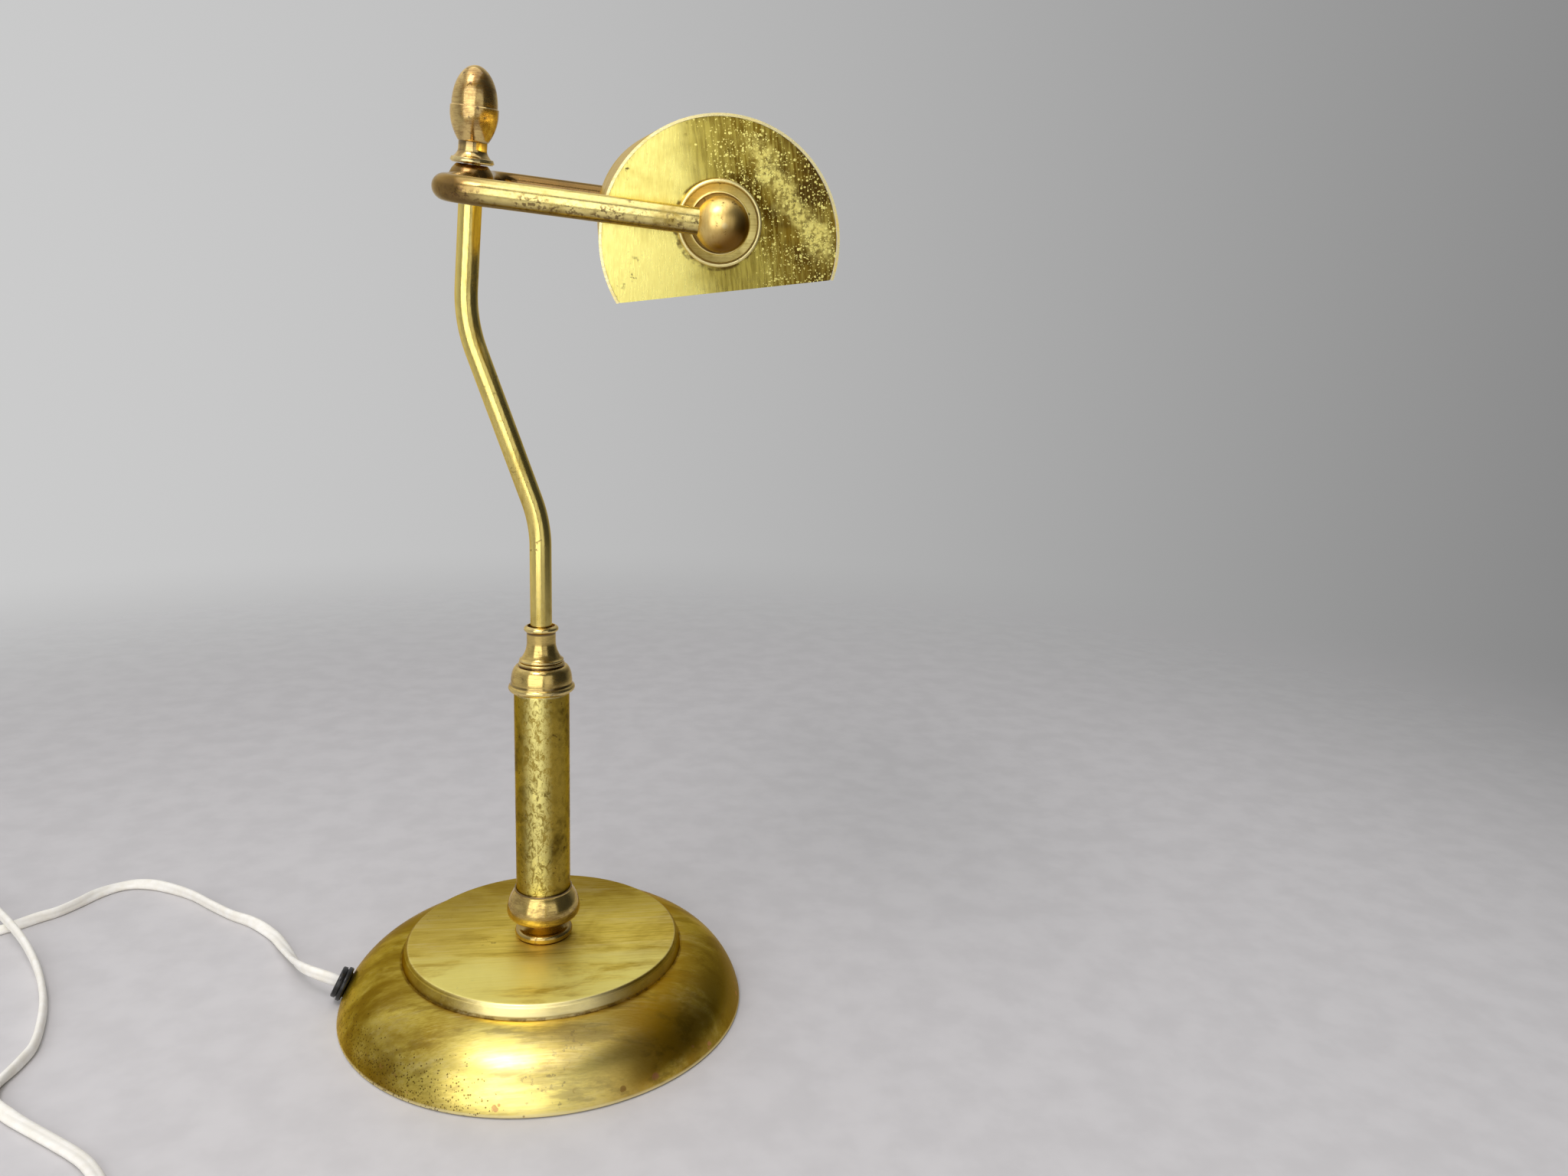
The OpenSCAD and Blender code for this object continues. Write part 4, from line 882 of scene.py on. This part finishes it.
def foot_loop():
    bead, h, socket = FOOT_BEAD_D / 2, FOOT_BEAD_H, COLUMN_D / 2 + SOCKET_FIT
    shoulder, neck = (bead - 2.2, h), (bead - 5, 8.4)
    cup, rim = (FOOT_CUP_D / 2, 13.8), (COLUMN_D / 2 + 0.9, FOOT_H - 1.2)
    loop = [(rod_bore, 0), (bead - 0.8, 0)] + arc((bead - h / 2, h / 2), h / 2, -70, 70)
    loop += [shoulder] + taper(shoulder, neck) + swell(neck, cup) + drawn_in(cup, rim) + [(rim[0], FOOT_H)]
    loop += [(socket, FOOT_H), (socket, FOOT_H - FOOT_SOCKET), (rod_bore, FOOT_H - FOOT_SOCKET)]
    return soften([(r, z + BASE_H) for r, z in loop], 0.35, 25)


def cap_loop():
    bore, bead, h = STEM_D / 2 + BORE_FIT, CAP_D / 2, CAP_BEAD_H
    foot, waist = (bead - 1.2, h + 0.5), (STEM_D / 2 + 1.75, 23.7)
    ring = waist[0] + 4
    low, high = (ring - 0.7, 13.4), (ring - 1.1, 15.0)
    flare = (high[0] - 0.4, high[1] + 1.1)
    lip_edge = 1.3
    lip = CAP_LIP_D / 2 - lip_edge
    loop = [(bore, 0), (bead - 1.2, 0)] + arc((bead - h / 2, h / 2), h / 2, -62, 62)
    loop += [foot] + crown(foot, (ring + 0.5, 12.3)) + [(ring - 0.4, 12.3)]
    loop += arc(low, CAP_RING_R, -80, 80, 8) + arc(high, CAP_RING_R, -80, 80, 8)
    loop += [flare] + taper(flare, waist)
    loop += [(waist[0], CAP_H - CAP_LIP_H - lip_edge), (lip, CAP_H - CAP_LIP_H)]
    loop += arc((lip, CAP_H - CAP_LIP_H / 2), lip_edge, -60, 60, 8) + [(lip, CAP_H), (lip - 0.4, CAP_H)]
    loop += [(lip - 0.4, CAP_H - 1.5), (bore, CAP_H - 1.5)]
    return soften([(r, z + COLUMN_TOP) for r, z in loop], 0.3, 25)


def tube_loop(r, t, low, high):
    return soften([(r - t, low), (r, low), (r, high), (r - t, high)], 0.2)


make("turned_foot", turned(foot_loop()), "base", "turned_brass", "foot_brass", "column_foot")
sleeve = tube_loop(COLUMN_D / 2, COLUMN_T, BASE_H + FOOT_H - FOOT_SOCKET, COLUMN_TOP)
make("column_sleeve", turned(sleeve), "base", "tube_brass", "column_brass", "column_tube")
make("turned_cap", turned(cap_loop()), "base", "turned_brass", "turned_brass", "column_cap")

# %% [markdown]
# The stem and the yoke.
# The stem is a thin tube with two easy bends, and the yoke is two tubes bent to a corner. A tube
# follows a path, so Geometry Nodes make it: a curve goes in, Curve to Mesh carries a circle along it,
# and the tree's inputs give the circle's size. The result is made a plain mesh, because the export
# drops live modifiers' instances.


# %% A tube that follows a path
def tube_tree():
    tree = bpy.data.node_groups.new("tube_along_path", "GeometryNodeTree")
    inputs = {"Path": "Geometry", "Radius": "Float", "Sides": "Int", "Finish": "Material"}
    for name, kind in inputs.items():
        tree.interface.new_socket(name, in_out="INPUT", socket_type="NodeSocket" + kind)
    tree.interface.new_socket("Tube", in_out="OUTPUT", socket_type="NodeSocketGeometry")
    add, wire = tree.nodes.new, tree.links.new
    given = add("NodeGroupInput").outputs
    circle, sweep = add("GeometryNodeCurvePrimitiveCircle"), add("GeometryNodeCurveToMesh")
    paint = add("GeometryNodeSetMaterial")
    sweep.inputs["Fill Caps"].default_value = True
    wire(given["Radius"], circle.inputs["Radius"])
    wire(given["Sides"], circle.inputs["Resolution"])
    wire(given["Path"], sweep.inputs["Curve"])
    wire(circle.outputs["Curve"], sweep.inputs["Profile Curve"])
    wire(given["Finish"], paint.inputs["Material"])
    smooth, real = add("GeometryNodeSetShadeSmooth"), add("GeometryNodeRealizeInstances")
    chain = [sweep, smooth, real, paint, add("NodeGroupOutput")]
    for start, end in zip(chain, chain[1:]):
        wire(start.outputs[0], end.inputs[0])
    return tree


tubes = tube_tree()
tube_inputs = {s.name: s.identifier for s in tubes.interface.items_tree if s.in_out == "INPUT"}
print("tube tree inputs:", *tube_inputs)

# %% [markdown]
# A bent tube's path is straight runs with round bends of one radius, as a bending tool leaves them.
# The path goes through the tree once, and the evaluated mesh is kept.

# %% Bent tubes
TUBE_SIDES, TUBE_SHARP, BEND_STEPS = 48, 40, 28


def bent(corners, bend_r):
    """Points along straight runs with round bends of one radius at the inner corners."""
    line = [corners[0]]
    for a, b, c in zip(corners, corners[1:], corners[2:]):
        u, w = (b - a).normalized(), (c - b).normalized()
        turn = u.angle(w)
        start = b - u * bend_r * tan(turn / 2)
        side = (w - u * u.dot(w)).normalized()
        for k in range(BEND_STEPS + 1):
            t = turn * k / BEND_STEPS
            line.append(start + u * bend_r * sin(t) + side * bend_r * (1 - cos(t)))
    return line + [corners[-1]]


def path_object(points):
    line = bpy.data.curves.new("path", "CURVE")
    line.dimensions = "3D"
    spline = line.splines.new("POLY")
    spline.points.add(len(points) - 1)
    for spot, p in zip(spline.points, points):
        spot.co = (*p, 1)
    return bpy.data.objects.new("path", line)


def tube_piece(name, points, radius, finish):
    """Runs the tree on a path, and keeps the result as a plain mesh object at the origin."""
    source = path_object(points)
    modifier = source.modifiers.new("tree", "NODES")
    modifier.node_group = tubes
    for key, value in (("Radius", radius * MM), ("Sides", TUBE_SIDES), ("Finish", finishes[finish])):
        modifier[tube_inputs[key]] = value
    scene.collection.objects.link(source)
    ready = source.evaluated_get(bpy.context.evaluated_depsgraph_get())
    mesh = bpy.data.meshes.new_from_object(ready)
    bpy.data.objects.remove(source)
    mesh.name = name
    mesh.set_sharp_from_angle(angle=radians(TUBE_SHARP))
    piece = bpy.data.objects.new(name, mesh)
    scene.collection.objects.link(piece)
    return piece


# %% [markdown]
# The stem leans to one side between its bends, and its top leans a little to the front and the side.
# Everything above it, the hub, the yoke and the shade, is built in a frame that leans with it.

# %% Stem, and the tilted frame of the head
STEM_BOTTOM, STEM_BEND_Z, STEM_RUN, STEM_TOP_RUN, STEM_BEND_R = 157.1, 240.0, 95.6, 58.0, 65.0
STEM_SLANT, LEAN_SIDE, LEAN_FRONT = radians(19.5), radians(7.6), radians(4.5)
HUB_R, HUB_SEAT, PLAY = 9.8, 7.4, 0.3
stem_low = Vector((0, 0, STEM_BEND_Z))
stem_high = stem_low + STEM_RUN * Vector((-sin(STEM_SLANT), 0, cos(STEM_SLANT)))
head_dir = Vector((cos(LEAN_SIDE) * sin(LEAN_FRONT), -sin(LEAN_SIDE), cos(LEAN_SIDE) * cos(LEAN_FRONT)))
hub_c = stem_high + STEM_TOP_RUN * head_dir
at_head = shift(*hub_c) @ spin(LEAN_FRONT, "Y") @ spin(LEAN_SIDE, "X")
stem_corners = [Vector((0, 0, STEM_BOTTOM)), stem_low, stem_high, hub_c - (HUB_SEAT + PLAY) * head_dir]
stem_line = [p * MM for p in bent(stem_corners, STEM_BEND_R)]
fit(tube_piece("bent_stem", stem_line, STEM_D / 2, "tube_brass"), "stem", "tube_brass", "tube_brass", "stem")

# %% [markdown]
# The yoke.
# The near arm of the yoke is the one that hands reach; it is rubbed bright and has a painted highlight. The
# corner, the crossbar and the far arm are a dull bronze, partly tarnish and partly painted shade, pits of
# lost lacquer lie along the underside, and painted shade darkens the underside. The finish measures places in
# the head's own frame, so it follows the yoke when it turns.

# %% Brass of the yoke
YOKE_D, YOKE_HALF, YOKE_REACH, YOKE_BEND_R = 9.4, 108.0, 97.0, 14.0
f = brass("yoke_brass", bright=(250, 230, 146), blotch=40, dullness=0.3, lines=(8, 12, 12), specks=0.1,
          speck_size=520)
x, y, z = f.places(at_head)
ragged = f.noise(90, 3) * 20
# Painted highlight, with rubbing, on the near arm; painted shade over bronze tarnish elsewhere.
rubbed_and_highlit = f.band(x + ragged, 12, 40) * f.band(y, 18 - YOKE_HALF, 4 - YOKE_HALF)
bronze_and_shade = f.mix(f.tarnish, (132, 100, 46), (92, 68, 28))
f.lay(bronze_and_shade, 1 - rubbed_and_highlit)
pits = f.band(f.noise(760, 3, 0.6), 0.5, 0.56)
pitted = f.band(f.noise(110, 3, 0.6), 0.42, 0.56)
f.lay((96, 68, 26), pits, pitted, f.band(z, 2.6, 0), 0.8)
# Painted shade along the underside of the tubes.
f.lay((106, 80, 32), f.band(z, -1, -4, 0.0, 0.9))
print("yoke finish:", len(f.tree.nodes), "nodes")

# %% Yoke arms
ARM_START, ARM_STOP = 5.35, 5.1
ENDS = (("near", -1), ("far", 1))


def arm_line(side):
    start = Vector((0, side * ARM_START, 0))
    corner = Vector((0, side * YOKE_HALF, 0))
    end = corner + Vector((YOKE_REACH - ARM_STOP, 0, 0))
    return [at_head @ (p * MM) for p in bent([start, corner, end], YOKE_BEND_R)]


for end, side in ENDS:
    arm = tube_piece(end + "_arm", arm_line(side), YOKE_D / 2, "yoke_brass")
    fit(arm, "yoke", "tube_brass", "yoke_brass", "yoke_arm_" + end)

# %% [markdown]
# Hub ball, knuckles and finial.
# The stem ends under a ball hub that takes both halves of the yoke, with the acorn finial screwed down
# on top. Two more balls at the arm ends hold the shade's pivots. All are turned pieces in the head's
# tilted frame. The balls carry painted shade, dark brown, low on their outer side.

# %% Hub and finial
FINIAL_H, ACORN_D, FINIAL_RING_D, FINIAL_NECK_D, NIPPLE_D = 38.8, 20.0, 18.4, 12.0, 7.1


def hub_loop():
    flat = degrees(acos(HUB_SEAT / HUB_R))
    bore = NIPPLE_D / 2 + BORE_FIT
    side = arc((0, 0), HUB_R, -90 + flat, 90 - flat, 40)
    return soften([(bore, -HUB_SEAT)] + side + [(bore, HUB_SEAT)], 0.3, 30)


def finial_loop():
    ring, neck = FINIAL_RING_D / 2, (FINIAL_NECK_D / 2, 5.8)
    foot, ledge, cup = (ring - 1.2, 2.3), (neck[0] + 0.5, 9.2), (ACORN_D / 2, 20.4)
    nut = (cup[0] - 0.5, 22.8)
    loop = [(0, 0), (ring - 0.8, 0), (ring, 0.8), (ring - 0.5, 2.3), foot] + taper(foot, neck)
    loop += [(neck[0], ledge[1] - 0.5), ledge] + taper(ledge, cup)
    loop += [(cup[0], 22.3), nut] + crown(nut, (0, FINIAL_H), 32)
    return soften(loop, 0.2, 25)


make("hub_ball", turned(hub_loop(), at_head), "yoke", "turned_brass", "yoke_brass", "yoke_hub")
on_hub = at_head @ shift(0, 0, HUB_SEAT + PLAY)
make("acorn_finial", turned(finial_loop(), on_hub), "stem", "turned_brass", "finial_brass", "finial")

# %% Knuckles
BALL_R, BALL_SEAT = 9.8, 6.8
f = brass("knuckle_brass", bright=(244, 212, 130), dull=(186, 142, 64), rough=0.4, blotch=60,
          dullness=0.45, lines=(20, 20, 4), specks=0.3, lacquer=0.2)
x, _, z = f.places(at_head)
# Painted shade: dark brown low on the outer side of each ball.
f.lay((124, 86, 24), f.band(x - YOKE_REACH - z, -6, 8))


def ball_loop():
    flat = degrees(acos(BALL_SEAT / BALL_R))
    return [(0, -BALL_R)] + arc((0, 0), BALL_R, -88, 90 - flat, 44) + [(0, BALL_SEAT)]


for end, side in ENDS:
    arm_end = at_head @ shift(YOKE_REACH, side * YOKE_HALF, 0)
    ball = turned(ball_loop(), arm_end @ spin(side * pi / 2, "X"))
    make(end + "_knuckle", ball, "yoke", "turned_brass", "knuckle_brass", "ball_" + end)

# %% [markdown]
# The shade.
# A sheet is rolled to a trough, and a D-shaped plate closes each end, a little inside the trough's
# edge. A dished boss on each plate takes the pivot. A Solidify modifier could give a rolled sheet its
# wall. Here the trough is a closed loop of its cross-section drawn along its axis, because its three
# sides differ: brass outside, white enamel inside and bare edges.

# %% Trough
SHADE_R, SHADE_HALF, SHADE_DROP, MOUTH_DROP, SHADE_T, SHADE_LIP = 44.4, 96.0, 7.0, 24.6, 1.0, 1.0
SHADE_TILT, TROUGH_STEPS = radians(12.8), 96
OUTSIDE, INSIDE, EDGE = 0, 1, 2
FACES_IN, FACES_ALONG = -0.5, 0.9
at_shade = at_head @ shift(YOKE_REACH, 0, 0) @ spin(-SHADE_TILT, "Y") @ spin(pi / 2, "X")


def shade_arc(r, n):
    """Arc of the shade's section, from one side of the mouth over the top to the other."""
    mouth = -degrees(acos(sqrt(1 - ((MOUTH_DROP - SHADE_DROP) / r) ** 2)))
    return arc((0, -SHADE_DROP), r, mouth, 180 - mouth, n)


def shade_skin(loop, heights):
    return swept([placed(at_shade, [(x, y, h) for x, y in loop]) for h in heights])


def trough_shape():
    lining = shade_arc(SHADE_R - SHADE_T, TROUGH_STEPS)[::-1]
    loop = soften(shade_arc(SHADE_R, TROUGH_STEPS) + lining, 0.3, 40)
    end = SHADE_HALF + SHADE_LIP
    return shade_skin(loop, (-end, -end / 2, 0, end / 2, end))


trough = make("trough", trough_shape(), "shade", "sheet_brass", "sheet_brass", "shade_trough", sharp=40)
coat(trough, "sheet_brass", "enamel_white", "edge_brass")
axis_point = at_shade @ Vector((0, -SHADE_DROP * MM, 0))
axis_dir = (at_shade.to_3x3() @ Vector((0, 0, 1))).normalized()
for face in trough.data.polygons:
    out = face.center - axis_point
    out -= axis_dir * out.dot(axis_dir)
    face.material_index = INSIDE if face.normal.dot(out.normalized()) < FACES_IN else OUTSIDE
    if abs(face.normal.dot(axis_dir)) > FACES_ALONG:
        face.material_index = EDGE

# %% [markdown]
# The end plates.
# The end plates are flat and face the room, so their ageing is easy to see. One side is smooth pale
# gold, the middle is olive, and the other side has tarnished dark brown and flaked, with small bright
# specks and a rubbed pale band that slants across it. A dark ring round the boss is partly old polish
# and partly a painted shadow of the raised boss.
# The finish is drawn in the shade's own frame, x across and y up, so that it turns with the shade.

# %% Brass of the end plates
BOSS_D = 31.0
f = brass("plate_brass", bright=(254, 240, 138), dull=(222, 200, 96), rough=0.32, blotch=30,
          dullness=0.3, lines=(26, 26, 2), specks=0.06, lacquer=0.2)
x, y, _ = f.places(at_shade)
drift = f.noise(45, 4, 0.6) - 0.5
streaks = f.noise(40, 4, 0.6, where=f.spread((26, 2, 2), f.inside(at_shade)))

olive = f.mix(f.band(streaks, 0.35, 0.65), (190, 172, 76), (138, 118, 38))
f.lay(olive, f.band(x + drift * 30, -18, -2), 0.9)
across = x + y * 0.22 + drift * 40
brown = f.mix(f.band(drift, -0.12, 0.1), (132, 104, 22), (84, 60, 6))
f.lay(brown, f.band(across, 4, 16), f.band(streaks + drift, 0.3, 0.6, 0.4, 1.0))

slanted = x + y * 0.6 + drift * 30
pale = f.band(abs(slanted - 30), 7.5, 1.5) * f.band(y, -20, -10) * f.band(y, 32, 20)
f.lay((255, 238, 132), pale, f.band(f.noise(520, 5, 0.7), 0.42, 0.56, 0.2, 0.95))
cluster = f.band(f.noise(90, 3), 0.38, 0.58, 0.2, 0.85) * f.band(across, 0, 12)
large, small = f.dots(1000, cluster * 0.5, 0.6), f.dots(1900, cluster * 0.6, 0.65)
f.lay((255, 242, 140), f.math("MAXIMUM", large, small))

# A dark ring round the boss: old polish and a painted shadow of the raised boss.
ring_r = f.far(x + 0.7, y + 0.6)
broken = f.band(f.noise(200, 3), 0.34, 0.5)
f.lay(UMBER, f.band(ring_r, BOSS_D / 2 + 1.2, BOSS_D / 2 + 0.4), broken, 0.85)
print("plate finish:", len(f.tree.nodes), "nodes")

# %% End plates and bosses
BOSS_T, BOSS_RIM, PIVOT_D, PLATE_STEPS, PLATE_FIT = 2.0, 1.9, 7.0, 120, 0.05
BOSS_BEAD, COLLAR_R = 1.7, 0.5


def plate_shape(side):
    loop = soften(shade_arc(SHADE_R - SHADE_T - PLATE_FIT, PLATE_STEPS), 1.2, 40)
    z = (SHADE_HALF - SHADE_T) if side < 0 else -SHADE_HALF
    return shade_skin(loop, (z, z + SHADE_T))


def boss_loop():
    r, bore, bead = BOSS_D / 2, PIVOT_D / 2 + BORE_FIT, BOSS_BEAD / 2
    loop = [(bore, 0), (r - 0.8, 0), (r, 0.8)] + arc((r - bead, BOSS_T + BOSS_RIM - bead), bead, 0, 180)
    collar = arc((BALL_R + 1.0, BOSS_T + COLLAR_R), COLLAR_R, 0, 180, 6)
    return soften(loop + collar + [(BALL_R - 1.2, BOSS_T), (bore, BOSS_T)], 0.3, 25)


for end, side in ENDS:
    make(end + "_plate", plate_shape(side), "shade", "sheet_brass", "plate_brass", "end_plate_" + end)
for end, side in ENDS:
    facing = Matrix() if side < 0 else spin(pi, "X")
    place = at_shade @ facing @ shift(0, 0, SHADE_HALF)
    make(end + "_boss", turned(boss_loop(), place), "shade", "turned_brass", "boss_brass", "boss_" + end)

# %% [markdown]
# The cord bushing.
# A black rubber bushing lines the hole where the cord leaves the base. It is turned too: one flange inside
# the shell, a neck through it, and a flange and a lobe outside, with a groove between them.

# %% Bushing
BUSHING_D, BUSHING_LIP, LOBE_IN = 16.5, 2.5, 0.7
wall_drop = DOME_R - sqrt(DOME_R ** 2 - (BUSHING_D / 2) ** 2)
bushing_back = SHELL_T + BUSHING_OUT + wall_drop + BUSHING_FLANGE
on_dome = shift(bushing_at.x, 0, bushing_at.y) @ spin(pi / 2 - BUSHING_TIP, "Y")
at_bushing = spin(BUSHING_TURN, "Z") @ on_dome


def bushing_loop():
    r, neck, back = BUSHING_D / 2, BUSHING_D / 2 - BUSHING_LIP, -bushing_back
    lobe, groove = r - LOBE_IN, r - 2 * LOBE_IN
    loop = [(0, back), (r - 1, back), (r - 1, back + BUSHING_FLANGE), (neck, back + BUSHING_FLANGE)]
    loop += [(neck, BUSHING_OUT), (r, BUSHING_OUT), (r, BUSHING_OUT + BUSHING_FLANGE)]
    loop += [(groove, BUSHING_OUT + BUSHING_FLANGE), (groove, LOBE_Z), (lobe, LOBE_Z), (lobe, BUSHING_FACE)]
    return soften(loop + [(0, BUSHING_FACE)], 1.0, 40)


grommet = turned(bushing_loop(), at_bushing, 64)
make("cord_grommet", grommet, "base", "black_rubber", "rubber_black", "cord_bushing")

# %% [markdown]
# Pieces that stay as the CAD made them.
# The weight, felt, fastenings, wires, lampholder and bulb are right as solids. A finer mesh would show
# nothing more, so each keeps its node and takes a finish.

# %% Finishes for the CAD nodes
CARRIED = {
    "iron_grey": ["base_weight"],
    "felt_green": ["base_felt"],
    "plated_steel": ["base_washer", "base_nut", "tie_rod", "cap_coupler", "stem_clip", "swivel_nipple",
                     "pivot_nipple_near", "pivot_nipple_far", "inner_washer_near", "inner_washer_far",
                     "pivot_nut_near", "pivot_nut_far"],
    "fibre_brown": ["friction_washer_near", "friction_washer_far"],
    "sheath_white": ["column_wire", "stem_wire", "arm_wire"],
    "turned_brass": ["lampholder_cap", "lampholder_shell"],
    "porcelain": ["lampholder_core"],
    "bulb_metal": ["bulb_cap"],
    "glass_frost": ["bulb_glass"],
    "key_black": ["switch_key"],
}
for finish, names in CARRIED.items():
    for name in names:
        coat(nodes[name], finish)
print("carried over:", sum(len(names) for names in CARRIED.values()), "nodes")

# %% [markdown]
# Floor and light.
# The floor is a plain pale sheet that fades out before the horizon, so that no edge of it shows. Light
# comes from a large soft window in front of the lamp and to its left, as in the photograph, with a weak
# fill on the right, a ceiling and a small lamp above. The room is a gradient in the world, so the metal
# has something to reflect.

# %% Floor
FLOOR_HALF, FADE_FROM, FADE_TO = 4, 450, 1300
floor_corners = [(-1, -1), (1, -1), (1, 1), (-1, 1)]
floor = add_piece("floor", ([(FLOOR_HALF * x, FLOOR_HALF * y, 0) for x, y in floor_corners], [[0, 1, 2, 3]]))
f = Finish("floor_grey", 0, 0.9)
f.start(f.mix(f.band(f.noise(40, 3), 0.3, 0.7), (204, 202, 203), (211, 209, 210)))
x, y, _ = f.places()
f.shade(Alpha=f.band(f.far(x, y), FADE_FROM, FADE_TO, 1.0, 0.0))
coat(floor, "floor_grey")
print("floor of", 2 * FLOOR_HALF, "m")

# %% World
PALE_WAY, DARK_SIDE, PALE_SIDE, CEILING_LIFT = (-0.7, 0.7, 0), 0.05, 0.63, 1.6
world = bpy.data.worlds.new("room")
scene.world = world
world.use_nodes = True
room = Wires(world.node_tree)
way = room.value(room.node("TexCoord"), "Generated")
to_pale = room.value(room.node("VectorMath", way, PALE_WAY, operation="DOT_PRODUCT"), "Value")
level = room.band(to_pale, -0.5, 1, DARK_SIDE, PALE_SIDE, "LINEAR")
lift = room.band(room.split(way)[2], 0.3, 0.6, 1.0, CEILING_LIFT)
room.set(world.node_tree.nodes["Background"], Color=level * lift)
print("room from", DARK_SIDE, "to", PALE_SIDE)

# %% Lamps
LIT_POINT = Vector((0.02, 0, 0.2))


def soft_lamp(name, turn, rise, distance, size, power, tint=(1, 1, 1)):
    """An area lamp aimed at the object, `turn` degrees to the right of the front and `rise` above level."""
    turn, rise = radians(turn), radians(rise)
    direction = Vector((sin(turn) * cos(rise), -cos(turn) * cos(rise), sin(rise)))
    data = bpy.data.lights.new(name, "AREA")
    data.shape = "RECTANGLE"
    data.size, data.size_y = size
    data.energy = power
    data.color = tint
    lamp = bpy.data.objects.new(name, data)
    lamp.location = LIT_POINT + direction * distance
    lamp.rotation_euler = (LIT_POINT - lamp.location).to_track_quat("-Z", "Y").to_euler()
    scene.collection.objects.link(lamp)
    print(name, power, "W")


soft_lamp("window", -23, 13, 1.3, (1.35, 1.15), 9.5)
soft_lamp("fill", 27, 11, 1.3, (0.8, 1.0), 1.7)
soft_lamp("ceiling", -20, 76, 1.2, (1.2, 1.2), 5.0)
soft_lamp("lamp", -31, 56, 1.1, (0.4, 0.35), 3.2, tint=(1.0, 0.93, 0.96))
